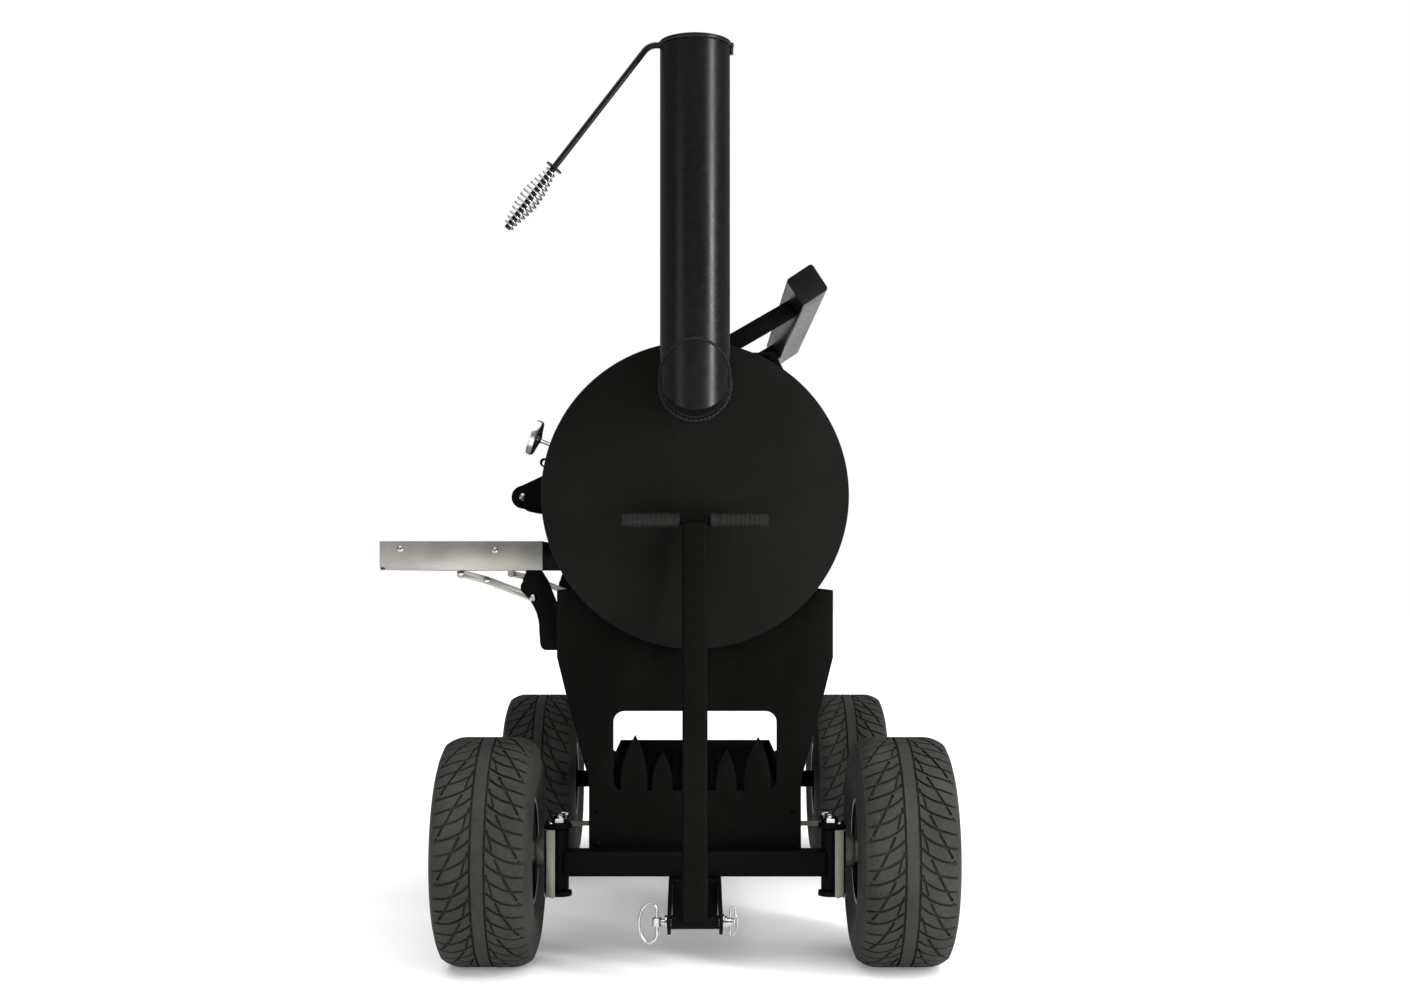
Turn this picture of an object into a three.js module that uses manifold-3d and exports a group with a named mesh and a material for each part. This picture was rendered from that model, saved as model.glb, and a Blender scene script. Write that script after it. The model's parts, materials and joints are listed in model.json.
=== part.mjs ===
// An offset smoker on a steerable four-wheel cart: a horizontal cook chamber with a counterweighted
// door, a mitred stack with a swivelling lid, a firebox, a folding shelf, and a tow handle.
// Millimetres. X points right, Y from the stack end to the firebox end, Z up from the ground.
import * as THREE from "three";
import { mergeVertices } from "three/addons/utils/BufferGeometryUtils.js";
import Module from "manifold-3d";

const wasm = await Module();
wasm.setup();

// ---- clearances ----
const GAP = 0.3; // between pieces that touch
const RUN = 0.5; // around a turning pin

// ---- cook chamber ----
const CHAMBER = { radius: 305, wall: 6, length: 1219, axisZ: 930 };
const DOOR = { thick: 9, fromDeg: 61.5, toDeg: 180, startY: 102, length: 1016, lap: 14 };
const HINGE = { standoff: 32.831, deg: 61.538, pin: 7, knuckle: 13, boss: 12, inset: 100 };
const GRATE = { rise: 6, bar: 10, rod: 8, pitch: 96, sideGap: 16 };

// ---- stack and lid ----
const STACK = { radius: 67, wall: 5, axisY: -111, elbowRise: 219, height: 633 };
const LID = { overhang: 3, thick: 8, pin: 3, boss: 5 };
const ROD = { radius: 6, level: 18, reach: 290, drop: 350.3, washer: 17.5, washerThick: 3 };
const SPRING = { length: 143, endRadius: 11.5, midRadius: 21.5 };

// ---- firebox ----
const FIREBOX = { radius: 254, wall: 6, length: 555, drop: 230, plate: 6 };
const FIRE_DOOR = { width: 330, height: 280, thick: 8, lap: 18, damperDrop: 60 };
const FIRE_GRATE = { drop: 130, bar: 14, count: 11 };

// ---- door fittings, each placed at a height over the chamber's surface and an angle round it ----
const HANDLE = { standoff: 69.16, deg: 178.315, lobe: 25, plate: 10, nearY: 330, farY: 545, bar: 15 };
const WEIGHT = {
  side: 63.5,
  standoff: 188.83,
  deg: 62.24,
  startY: 117,
  length: 994,
  tiltDeg: 33.5,
  corner: 7,
};
const ARM = { depth: 38, thick: 10, slopeDeg: 30, standoff: 58.61, deg: 78.257, inset: 145 };
const DIAL = { radius: 38, thick: 16, standoff: 40, stem: 6, tiltDeg: 158.6, y: 235, probe: 70 };

// ---- running gear ----
const WHEELBASE = 1186;
const TYRE = { radius: 225, section: 195, bead: 101, wall: 13, sides: 24 };
const RIM = { flange: 107, hub: 34, hubHalf: 42, sheet: 5, sides: 12 };
const AXLE = { y: 7, z: TYRE.radius, halfTrack: CHAMBER.radius + 100, spindle: 12 };
const KINGPIN = { x: 268, radius: 10, bushing: 18 };
const STEER_ARM = 100; // kingpin to tie rod, and tongue pin to tie rod

// ---- cart ----
const SHEET = 5; // panel thickness
const BEAM = { side: 49, halfLength: 250, lowZ: AXLE.z - 47 };
const FRAME_RAIL = { side: 30, wall: 2, offset: 175, z: BEAM.lowZ + BEAM.side + GAP };
const PANEL = {
  halfWidth: CHAMBER.radius - 29,
  topZ: CHAMBER.axisZ - 188,
  shoulderZ: 608,
  waistZ: 362,
  waistHalf: 212,
  footZ: BEAM.lowZ + 7,
};
const WINDOW = { halfWidth: 163, lowZ: 341, highZ: 500, corner: 22 };
const REAR_WINDOW = { halfWidth: 226, lowZ: 300, highZ: 432 };
const RAIL = { height: 132, lip: 14, thick: 4 };
const TRAY = { halfWidth: 198, floorZ: 306, sheet: 3, rim: 26, slots: 9, web: 14, border: 24 };

// ---- steering linkage, tongue and tow handle ----
const TIE = { radius: 5, eye: 13, eyeThick: 10, pin: 5, clear: 2.7 };
const TIE_Z = FRAME_RAIL.z + FRAME_RAIL.side + TIE.clear + TIE.eyeThick / 2;
const KNUCKLE = { lowZ: AXLE.z - 88, highZ: TIE_Z + 6, lug: 10, webInner: 291, web: 6, flange: 16 };
const TONGUE = { outer: 103, plate: 6.5, pivotY: -195, topZ: BEAM.lowZ - 2 };
const PIN = { z: TONGUE.topZ - 51, radius: 8, headRadius: 13, eyeX: -71 };
const TOW = { side: 48, reach: 751, leanDeg: 10, tube: 13, barHalf: 144, bar: 9 };
const GRIP = { radius: 15, from: 30, to: 143 };

// ---- folding shelf ----
const SHELF_X = -CHAMBER.radius - 6; // the shelf's inner edge
const SHELF = { width: 332, lowZ: 782, highZ: 841, startY: 100, length: 1010, sheet: 2 };
const FOLD = { x: SHELF_X - 22, z: 812, pin: 5 };
const BRACKET = { inset: 13, thick: 6, boltX: FOLD.x + 2, boltZ: 725, footZ: 618, flangeZ: 717 };
const STAY = {
  shelfX: FOLD.x - 147,
  shelfZ: 775,
  elbowX: FOLD.x - 93,
  elbowZ: 761,
  half: 7.6,
  thick: 4,
  step: 4.8,
};

// ---- materials ----
const material = (color, roughness, metalness) =>
  new THREE.MeshStandardMaterial({ color, roughness, metalness });
const MATERIALS = {
  paint: material(0x1b1b1a, 0.6, 0.2),
  satin: material(0x1d1d1c, 0.35, 0.3),
  stainless: material(0x97958c, 0.4, 1),
  zinc: material(0x60624f, 0.5, 0.9),
  chrome: material(0xd0d2d4, 0.12, 1),
  rubber: material(0x23221f, 0.85, 0),
  grip: material(0x171716, 0.7, 0),
  steel: material(0x55544f, 0.55, 0.8),
  dial: material(0xbfc0bd, 0.3, 0.7),
};

// ---- solids: three.js geometries joined and cut by manifold-3d ----
function solid(geometry) {
  const bare = geometry.index ? geometry.toNonIndexed() : geometry.clone();
  bare.deleteAttribute("normal");
  bare.deleteAttribute("uv");
  const merged = mergeVertices(bare, 1e-3);
  return new wasm.Manifold(
    new wasm.Mesh({
      numProp: 3,
      vertProperties: merged.attributes.position.array,
      triVerts: new Uint32Array(merged.index.array),
    }),
  );
}

const join = (...parts) => parts.reduce((whole, part) => whole.add(part));
const cut = (whole, ...tools) => tools.reduce((rest, tool) => rest.subtract(tool), whole);

function box(x0, x1, y0, y1, z0, z1) {
  const shape = new THREE.BoxGeometry(x1 - x0, y1 - y0, z1 - z0);
  return solid(shape.translate((x0 + x1) / 2, (y0 + y1) / 2, (z0 + z1) / 2));
}

// A cylinder along "x", "y" or "z" from one coordinate to another, centred at (a, b) of the other two axes.
function rod(axis, radius, from, to, a, b, sides = 16) {
  const shape = new THREE.CylinderGeometry(radius, radius, to - from, sides);
  const middle = (from + to) / 2;
  if (axis === "x") shape.rotateZ(-Math.PI / 2).translate(middle, a, b);
  if (axis === "y") shape.translate(a, middle, b);
  if (axis === "z") shape.rotateX(Math.PI / 2).translate(a, b, middle);
  return solid(shape);
}

const pipe = (axis, outer, inner, from, to, a, b, sides) =>
  cut(rod(axis, outer, from, to, a, b, sides), rod(axis, inner, from - 1, to + 1, a, b, sides));

// A flat shape drawn in X and Z, given its thickness along Y.
function plateXZ(shape, y0, y1, curveSegments = 8) {
  const slab = new THREE.ExtrudeGeometry(shape, { depth: y1 - y0, bevelEnabled: false, curveSegments });
  return solid(slab.rotateX(Math.PI / 2).translate(0, y1, 0));
}

// A flat shape drawn in Y and Z, given its thickness along X.
function plateYZ(shape, x0, x1) {
  const slab = new THREE.ExtrudeGeometry(shape, { depth: x1 - x0, bevelEnabled: false, curveSegments: 12 });
  const turn = new THREE.Matrix4().makeBasis(
    new THREE.Vector3(0, 1, 0),
    new THREE.Vector3(0, 0, 1),
    new THREE.Vector3(1, 0, 0),
  );
  return solid(slab.applyMatrix4(turn).translate(x0, 0, 0));
}

function polygon(points) {
  return new THREE.Shape(points.map(([x, y]) => new THREE.Vector2(x, y)));
}

function roundedRect(x0, x1, y0, y1, r) {
  const shape = new THREE.Shape();
  shape.moveTo(x0 + r, y0);
  shape.lineTo(x1 - r, y0);
  shape.absarc(x1 - r, y0 + r, r, -Math.PI / 2, 0);
  shape.lineTo(x1, y1 - r);
  shape.absarc(x1 - r, y1 - r, r, 0, Math.PI / 2);
  shape.lineTo(x0 + r, y1);
  shape.absarc(x0 + r, y1 - r, r, Math.PI / 2, Math.PI);
  shape.lineTo(x0, y0 + r);
  shape.absarc(x0 + r, y0 + r, r, Math.PI, 1.5 * Math.PI);
  return shape;
}

// The closed outline of a ring sector between two radii and two angles, about (0, CHAMBER.axisZ).
function sector(inner, outer, fromDeg, toDeg) {
  const from = THREE.MathUtils.degToRad(fromDeg);
  const to = THREE.MathUtils.degToRad(toDeg);
  const shape = new THREE.Shape();
  shape.absarc(0, CHAMBER.axisZ, outer, from, to, false);
  shape.absarc(0, CHAMBER.axisZ, inner, to, from, true);
  shape.closePath();
  return shape;
}

// A flat link with round ends, drawn in X and Z.
function link(ax, az, bx, bz, half) {
  const along = Math.atan2(bz - az, bx - ax);
  const shape = new THREE.Shape();
  shape.absarc(ax, az, half, along + Math.PI / 2, along + 1.5 * Math.PI);
  shape.absarc(bx, bz, half, along - Math.PI / 2, along + Math.PI / 2);
  shape.closePath();
  return shape;
}

// A lathe of [radius, height] points about Z.
function turned(points, sides) {
  return new THREE.LatheGeometry(points.map(([r, h]) => new THREE.Vector2(r, h)), sides).rotateX(Math.PI / 2);
}

const group = new THREE.Group();
const model = new THREE.Group();
group.add(model);

function add(name, shape, finish, parent = model) {
  const { vertProperties, triVerts } = shape.getMesh();
  const geometry = new THREE.BufferGeometry();
  geometry.setAttribute("position", new THREE.BufferAttribute(vertProperties, 3));
  geometry.setIndex(new THREE.BufferAttribute(triVerts, 1));
  geometry.computeVertexNormals();
  const mesh = new THREE.Mesh(geometry, MATERIALS[finish]);
  mesh.name = name;
  parent.add(mesh);
  return mesh;
}

// Two positions in rising order, as rods and plates take them.
const between = (a, b) => [Math.min(a, b), Math.max(a, b)];

const onCircle = (radius, deg) => [
  radius * Math.cos(THREE.MathUtils.degToRad(deg)),
  CHAMBER.axisZ + radius * Math.sin(THREE.MathUtils.degToRad(deg)),
];

// ---- places worked out from the sizes ----
const [hingeX, hingeZ] = onCircle(CHAMBER.radius + HINGE.standoff, HINGE.deg);
const lidRadius = STACK.radius + LID.overhang;
const elbowZ = CHAMBER.axisZ + STACK.elbowRise;
const stackTopZ = elbowZ + STACK.height;
const grateZ = CHAMBER.axisZ + GRATE.rise;
const fireboxZ = CHAMBER.axisZ - FIREBOX.drop;
const dividerY = CHAMBER.length - CHAMBER.wall;
const doorEndY = DOOR.startY + DOOR.length;
const doorInner = CHAMBER.radius + 1;
const doorOuter = doorInner + DOOR.thick;
const fireboxEndY = CHAMBER.length + GAP + FIREBOX.length;
const beamY0 = AXLE.y - BEAM.side / 2;
const beamY1 = AXLE.y + BEAM.side / 2;
const frontPanelY = beamY1 + GAP;
const rearAxleY = AXLE.y + WHEELBASE;
const rearPanelY = rearAxleY - BEAM.side / 2 - GAP - SHEET;
const chamberSides = 56;

// ---- cook chamber ----
function chamber() {
  const { radius, wall, axisZ } = CHAMBER;
  const shell = pipe("y", radius, radius - wall, wall + GAP, dividerY - GAP, 0, axisZ, chamberSides);
  const opening = plateXZ(
    sector(radius - 60, radius + 30, DOOR.fromDeg + DOOR.lap / 4, DOOR.toDeg - DOOR.lap / 4),
    DOOR.startY + DOOR.lap,
    doorEndY - DOOR.lap,
    24,
  );
  const ledges = [-1, 1].map((side) => {
    const x = side * (radius - 1.5 * wall - GRATE.sideGap / 2);
    return box(x - 16, x + 16, wall + 20, dividerY - 20, grateZ - 14, grateZ - 8);
  });
  const keep = rod("y", radius - wall / 2, 0, CHAMBER.length, 0, axisZ, chamberSides);
  const drain = rod("z", 14, axisZ - radius - 20, axisZ - radius + 30, 0, CHAMBER.length / 2);
  add("chamber_shell", cut(join(shell, ...ledges.map((l) => l.intersect(keep))), opening, drain), "paint");

  const smokeHole = rod("y", STACK.radius - STACK.wall, -5, wall + 5, 0, elbowZ, 32);
  add("chamber_end_plate", cut(rod("y", radius, 0, wall, 0, axisZ, chamberSides), smokeHole), "paint");

  const disc = rod("y", radius, dividerY, CHAMBER.length, 0, axisZ, chamberSides);
  const fireDisc = rod("y", FIREBOX.radius, dividerY, CHAMBER.length, 0, fireboxZ, chamberSides);
  const throatTop = rod("y", radius - 30, dividerY - 5, CHAMBER.length + 5, 0, axisZ, 32);
  const throat = rod("y", FIREBOX.radius - 30, dividerY - 5, CHAMBER.length + 5, 0, fireboxZ, 32);
  add("divider_plate", cut(join(disc, fireDisc), throat.intersect(throatTop)), "paint");
}

function cookingGrate() {
  const { bar, rod: wire, pitch, sideGap } = GRATE;
  const z = grateZ;
  const half = CHAMBER.radius - CHAMBER.wall - sideGap;
  const y0 = CHAMBER.wall + 20;
  const y1 = dividerY - 20;
  const frame = cut(
    box(-half, half, y0, y1, z - bar / 2, z + bar / 2),
    box(-half + bar, half - bar, y0 + bar, y1 - bar, z - bar, z + bar),
  );
  const wires = [];
  const count = Math.floor((y1 - y0) / pitch);
  for (let i = 1; i < count; i++) {
    const y = y0 + (i * (y1 - y0)) / count;
    wires.push(box(-half + bar / 2, half - bar / 2, y - wire / 2, y + wire / 2, z - wire / 2, z + wire / 2));
  }
  const ribs = [-half / 3, half / 3].map((x) => box(x - 4, x + 4, y0 + 1, y1 - 1, z - bar / 2, z + 1));
  add("cooking_grate", join(frame, ...wires, ...ribs), "steel");
}

// ---- stack: a horizontal leg and a pipe, mitred at 45 degrees ----
function stack() {
  const { radius, wall, axisY } = STACK;
  const topZ = stackTopZ;
  const reach = 3 * radius;
  const mitre = (offset, side) => {
    const half = new THREE.BoxGeometry(reach * 2, reach * 2, reach * 2).translate(0, 0, side * reach);
    return solid(half.rotateX(Math.PI / 4).translate(0, axisY + offset, elbowZ - offset));
  };
  const leg = pipe("y", radius, radius - wall, axisY - 1.5 * radius, -GAP, 0, elbowZ, 32);
  add("stack_elbow", cut(leg, mitre(GAP / 2, 1)), "satin");

  const upright = pipe("z", radius, radius - wall, elbowZ - 1.5 * radius, topZ, 0, axisY, 32);
  const pivotX = lidRadius - LID.pin / 2;
  const boss = cut(
    rod("z", LID.boss, topZ - 12, topZ, pivotX, axisY, 16),
    rod("z", radius - wall / 2, topZ - 20, topZ + 5, 0, axisY, 32),
  );
  const pin = rod("z", LID.pin, topZ - 6, topZ + LID.thick + 1.5, pivotX, axisY, 12);
  add("stack_pipe", cut(join(upright, boss, pin), mitre(-GAP / 2, -1)), "satin");

  const lidZ = topZ + GAP;
  const disc = join(
    rod("z", lidRadius, lidZ, lidZ + LID.thick, 0, axisY, 40),
    rod("z", LID.boss + 1, lidZ, lidZ + LID.thick, pivotX, axisY, 16),
  );
  add("stack_lid", cut(disc, rod("z", LID.pin + RUN, lidZ - 1, lidZ + 20, pivotX, axisY, 12)), "satin");
}

// The lid's rod runs level off the lid's edge, bends down, and carries the washer and spring grip.
function lidRod() {
  const z = stackTopZ + GAP + LID.thick / 2;
  const bend = new THREE.Vector3(-lidRadius - ROD.level, STACK.axisY, z);
  const end = new THREE.Vector3(-lidRadius - ROD.reach, STACK.axisY, z - ROD.drop);
  const down = end.clone().sub(bend).normalize();
  const start = new THREE.Vector3(-lidRadius - GAP, STACK.axisY, z);
  const before = bend.clone().add(new THREE.Vector3(12, 0, 0));
  const after = bend.clone().addScaledVector(down, 12);
  const path = new THREE.CurvePath();
  path.add(new THREE.LineCurve3(start, before));
  path.add(new THREE.QuadraticBezierCurve3(before, bend, after));
  path.add(new THREE.LineCurve3(after, end));
  const section = new THREE.Shape().absarc(0, 0, ROD.radius, 0, 2 * Math.PI);
  const bar = new THREE.ExtrudeGeometry(section, { steps: 22, extrudePath: path, curveSegments: 5 });

  // Turns a piece made along +Z so that it lies on the rod, at a distance back from the rod's end.
  const onRod = (shape, back) => {
    const turn = new THREE.Quaternion().setFromUnitVectors(new THREE.Vector3(0, 0, 1), down);
    const at = end.clone().addScaledVector(down, -back);
    return solid(shape.applyQuaternion(turn).translate(at.x, at.y, at.z));
  };
  const washer = new THREE.CylinderGeometry(ROD.washer, ROD.washer, ROD.washerThick, 24).rotateX(Math.PI / 2);
  const washerBack = SPRING.length + ROD.washerThick / 2 + GAP + 2;
  add("lid_rod", join(solid(bar), onRod(washer, washerBack)), "satin");

  const { length, endRadius, midRadius } = SPRING;
  const inner = ROD.radius + RUN;
  const outline = [[inner, 0]];
  const steps = 6;
  for (let i = 0; i <= steps; i++) {
    const bulge = Math.sin((Math.PI * i) / steps) ** 1.5;
    outline.push([endRadius + (midRadius - endRadius) * bulge, (i * length) / steps]);
  }
  outline.push([inner, length], [inner, 0]);
  add("spring_grip", onRod(turned(outline, 16), length + 2), "chrome");
}

// ---- chamber door, its hinge, counterweight, handle and thermometer ----
function door() {
  const panel = plateXZ(sector(doorInner, doorOuter, DOOR.fromDeg, DOOR.toDeg), DOOR.startY, doorEndY, 24);
  const lugYs = [0, 0.5, 1].map((t) => DOOR.startY + HINGE.inset + t * (DOOR.length - 2 * HINGE.inset));
  const lugHalf = 7;
  const leafFrom = lugHalf + 1;
  const leafTo = leafFrom + 28;
  const chamberSolid = rod("y", CHAMBER.radius + GAP, 0, CHAMBER.length, 0, CHAMBER.axisZ, chamberSides);

  const [baseLeft, baseRight] = [onCircle(CHAMBER.radius - 3, 54.3), onCircle(CHAMBER.radius - 5, 44.4)];
  const lugs = lugYs.map((y) =>
    cut(
      join(
        rod("y", HINGE.boss, y - lugHalf, y + lugHalf, hingeX, hingeZ, 12),
        plateXZ(
          polygon([
            [hingeX, hingeZ - HINGE.boss],
            [hingeX + 5, hingeZ - 27],
            baseLeft,
            baseRight,
            [hingeX + 11, hingeZ],
          ]),
          y - lugHalf,
          y + lugHalf,
        ),
      ),
      chamberSolid,
    ),
  );
  const pin = rod("y", HINGE.pin, lugYs[0] - 14, lugYs[2] + 50, hingeX, hingeZ, 16);
  add("door_hinge", join(pin, ...lugs), "paint");

  const strap = polygon([
    [hingeX, hingeZ + HINGE.knuckle],
    [hingeX - 63, hingeZ + HINGE.knuckle],
    onCircle(doorInner + 4, 72),
    onCircle(doorInner + 4, 62.5),
    [hingeX - HINGE.knuckle + 1, hingeZ - 6],
  ]);
  const leaves = lugYs.map((y) =>
    join(
      rod("y", HINGE.knuckle, y + leafFrom, y + leafTo, hingeX, hingeZ, 12),
      plateXZ(strap, y + leafFrom, y + leafTo),
    ),
  );
  const bores = lugYs.map((y) => rod("y", HINGE.pin + RUN, y, y + leafTo + 5, hingeX, hingeZ, 16));
  const [tubeX, tubeZ] = onCircle(doorOuter + 13, 166);
  const guide = pipe("y", 9.5, 6, DIAL.y - 12, DIAL.y + 12, tubeX, tubeZ, 16);
  const foot = plateXZ(
    polygon([
      onCircle(doorInner + 5, 165.2),
      onCircle(doorInner + 5, 167),
      [tubeX + 2, tubeZ - 8],
      [tubeX + 4, tubeZ + 6],
    ]),
    DIAL.y - 8,
    DIAL.y + 8,
  );
  const guideBore = rod("y", 6, DIAL.y - 20, DIAL.y + 20, tubeX, tubeZ, 16);
  const probeHole = dialSolid([[0, -40], [DIAL.stem + 1, -40], [DIAL.stem + 1, 40], [0, 40]]);
  add("door_panel", cut(join(panel, ...leaves, guide, foot), ...bores, guideBore, probeHole), "paint");
}

// A turned piece on the thermometer's axis; heights are measured outwards from the door's outer face.
function dialSolid(points) {
  const shape = turned(points, 20);
  const [x, z] = onCircle(doorOuter, DIAL.tiltDeg);
  const out = new THREE.Vector3(x, 0, z - CHAMBER.axisZ).normalize();
  const turn = new THREE.Quaternion().setFromUnitVectors(new THREE.Vector3(0, 0, 1), out);
  return solid(shape.applyQuaternion(turn).translate(x, DIAL.y, z));
}

function thermometer() {
  const { radius, thick, standoff, stem, probe } = DIAL;
  add(
    "thermometer",
    dialSolid([
      [0, -probe],
      [4, -probe],
      [4, -12],
      [stem, -11.5],
      [stem, GAP],
      [11, GAP],
      [11, 14],
      [stem + 1, 15],
      [stem + 1, standoff - 4],
      [radius - 10, standoff],
      [radius, standoff + 4],
      [radius, standoff + thick],
      [radius - 3, standoff + thick],
      [radius - 3, standoff + thick - 2],
      [0, standoff + thick - 2],
    ]),
    "dial",
  );
}

function counterweight() {
  const { side, startY, length, tiltDeg, corner } = WEIGHT;
  const [x, z] = onCircle(CHAMBER.radius + WEIGHT.standoff, WEIGHT.deg);
  const [armX, armZ] = onCircle(CHAMBER.radius + ARM.standoff, ARM.deg);
  const half = side / 2;
  const tilt = THREE.MathUtils.degToRad(tiltDeg);
  const profile = roundedRect(-half, half, -half, half, corner);
  const bar = new THREE.ExtrudeGeometry(profile, { depth: length, bevelEnabled: false, curveSegments: 4 });
  bar.rotateX(Math.PI / 2).rotateY(-tilt).translate(x, startY + length, z);
  add("counterweight", solid(bar), "paint");

  const lid = rod("y", doorOuter + GAP, 0, CHAMBER.length, 0, CHAMBER.axisZ, 96);
  const keepOut = new THREE.BoxGeometry(side * 3, 60, side + 2 * GAP);
  keepOut.translate(side * 1.5 - half - GAP, 0, 0);
  for (const [name, y] of [
    ["door_arm_near", startY + ARM.inset],
    ["door_arm_far", startY + length - ARM.inset - ARM.thick],
  ]) {
    const slope = THREE.MathUtils.degToRad(ARM.slopeDeg);
    const bar = new THREE.BoxGeometry(260, ARM.thick, ARM.depth).translate(30, ARM.thick / 2, -ARM.depth / 2);
    bar.rotateY(-slope).translate(armX, y, armZ);
    const stop = keepOut.clone().rotateY(-tilt).translate(x, y, z);
    add(name, cut(solid(bar), lid, solid(stop)), "paint");
  }
}

function doorHandle() {
  const { lobe, plate, nearY, farY, bar } = HANDLE;
  const [x, z] = onCircle(CHAMBER.radius + HANDLE.standoff, HANDLE.deg);
  const lid = rod("y", doorOuter + GAP, 0, CHAMBER.length, 0, CHAMBER.axisZ, 96);
  const lower = { x: x + 19, z: z - 9, r: 20 };
  const root = onCircle(doorInner, 167.5);
  const tail = onCircle(doorInner, 178);
  const tangent = THREE.MathUtils.degToRad(140);
  for (const [name, y] of [
    ["handle_bracket_near", nearY],
    ["handle_bracket_far", farY],
  ]) {
    const web = polygon([
      root,
      [x + lobe * Math.cos(tangent), z + lobe * Math.sin(tangent)],
      [x, z - lobe],
      [lower.x, lower.z - lower.r],
      tail,
    ]);
    const body = join(
      rod("y", lobe, y, y + plate, x, z, 16),
      rod("y", lower.r, y, y + plate, lower.x, lower.z, 16),
      plateXZ(web, y, y + plate),
    );
    add(name, cut(body, lid), "paint");
  }
  add("handle_bar", rod("y", bar, nearY + plate + GAP, farY - GAP, x, z, 16), "steel");
}

// ---- firebox ----
function firebox() {
  const { radius, wall, plate } = FIREBOX;
  const axisZ = fireboxZ;
  const damperZ = axisZ - FIRE_DOOR.damperDrop;
  const y0 = CHAMBER.length + GAP;
  const tube = pipe("y", radius, radius - wall, y0, fireboxEndY - plate - GAP, 0, axisZ, 40);
  add("firebox_shell", tube, "paint");

  const { width, height, thick, lap } = FIRE_DOOR;
  const mouth = roundedRect(-width / 2 + lap, width / 2 - lap, -height / 2 + lap, height / 2 - lap, 14);
  const opening = plateXZ(mouth, fireboxEndY - plate - 5, fireboxEndY + 5).translate(0, 0, axisZ);
  const postX = width / 2 + 14;
  const postY = fireboxEndY + thick / 2 + 8;
  const posts = [-1, 1].map((end) => {
    const z = axisZ + end * (height / 2 - 20);
    return join(
      box(postX - 5, postX + 5, fireboxEndY - 2, postY, z - 12, z + 12),
      rod("z", 9, z - 12, z + 12, postX, postY, 16),
      rod("z", 4, z - 12 - (end < 0 ? 0 : 26), z + 12 + (end < 0 ? 26 : 0), postX, postY, 12),
    );
  });
  const backDisc = rod("y", radius, fireboxEndY - plate, fireboxEndY, 0, axisZ, 40);
  const catchX = -width / 2 - 24;
  const keeper = box(catchX - 8, catchX + 8, fireboxEndY - 2, fireboxEndY + 16, axisZ - 30, axisZ - 24);
  add("firebox_end_plate", join(cut(backDisc, opening), ...posts, keeper), "paint");

  const doorY = fireboxEndY + 1;
  const slab = box(-width / 2, width / 2, doorY, doorY + thick, axisZ - height / 2, axisZ + height / 2);
  const leaves = [-1, 1].map((end) => {
    const z = axisZ + end * (height / 2 - 45.5);
    return cut(
      join(
        rod("z", 9, z - 12, z + 12, postX, postY, 16),
        box(width / 2 - 30, postX, doorY + thick - 2, postY + 5, z - 12, z + 12),
      ),
      rod("z", 4 + RUN, z - 13, z + 13, postX, postY, 12),
    );
  });
  const holes = [0, 1, 2].map((i) => {
    const turn = (i * 2 * Math.PI) / 3 + Math.PI / 2;
    return rod("y", 13, doorY - 5, doorY + 20, 34 * Math.cos(turn), damperZ + 34 * Math.sin(turn), 10);
  });
  const latchX = -width / 2 + 30;
  const latchHole = rod("y", 6 + RUN, doorY - 5, doorY + 20, latchX, axisZ, 16);
  const damperHole = rod("y", 5 + RUN, doorY - 5, doorY + 20, 0, damperZ, 16);
  add("firebox_door", cut(join(slab, ...leaves), ...holes, latchHole, damperHole), "paint");

  const face = doorY + thick;
  const latch = join(
    rod("y", 6, face - 6, face + 4, latchX, axisZ, 16),
    plateXZ(link(latchX, axisZ, catchX, axisZ, 11), face + GAP, face + 8),
    rod("y", 7, face + 6, face + 46, latchX + 4, axisZ, 16),
  );
  add("firebox_latch", latch, "steel");

  const disc = rod("y", 54, face + GAP, face + 3.3, 0, damperZ, 24);
  const windows = [0, 1, 2].map((i) => {
    const turn = (i * 2 * Math.PI) / 3 + Math.PI / 2;
    return rod("y", 13, face - 1, face + 9, 34 * Math.cos(turn), damperZ + 34 * Math.sin(turn), 10);
  });
  const knob = join(
    rod("y", 5, face - 6, face + 26, 0, damperZ, 12),
    rod("y", 11, face + 14, face + 30, 0, damperZ, 12),
  );
  add("air_damper", join(cut(disc, ...windows), knob), "steel");

  const z = axisZ - FIRE_GRATE.drop;
  const half = Math.sqrt((radius - wall) ** 2 - (FIRE_GRATE.drop + FIRE_GRATE.bar) ** 2) - 4;
  const g0 = y0 + 20;
  const g1 = fireboxEndY - plate - 20;
  const { bar, count } = FIRE_GRATE;
  const bars = [];
  for (let i = 0; i < count; i++) {
    const x = -half + bar / 2 + (i * (2 * half - bar)) / (count - 1);
    bars.push(box(x - bar / 2, x + bar / 2, g0, g1, z - bar / 2, z + bar / 2));
  }
  const tie = bar / 2 - 2;
  const ties = [g0 + 60, g1 - 60].map((y) => box(-half + 1, half - 1, y - 6, y + 6, z - tie, z + tie));
  add("fire_grate", join(...bars, ...ties), "steel");
}

// ---- cart body ----
function panelOutline(taper) {
  const { halfWidth, topZ, shoulderZ, waistZ, waistHalf, footZ } = PANEL;
  const foot = taper ? waistHalf : halfWidth;
  const shape = new THREE.Shape();
  shape.moveTo(-foot, footZ);
  shape.lineTo(foot, footZ);
  shape.lineTo(foot, waistZ);
  shape.quadraticCurveTo(taper ? foot + 34 : foot, waistZ + 120, halfWidth, shoulderZ);
  shape.lineTo(halfWidth, topZ);
  shape.lineTo(-halfWidth, topZ);
  shape.lineTo(-halfWidth, shoulderZ);
  shape.quadraticCurveTo(taper ? -foot - 34 : -foot, waistZ + 120, -foot, waistZ);
  shape.closePath();
  return shape;
}

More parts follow.
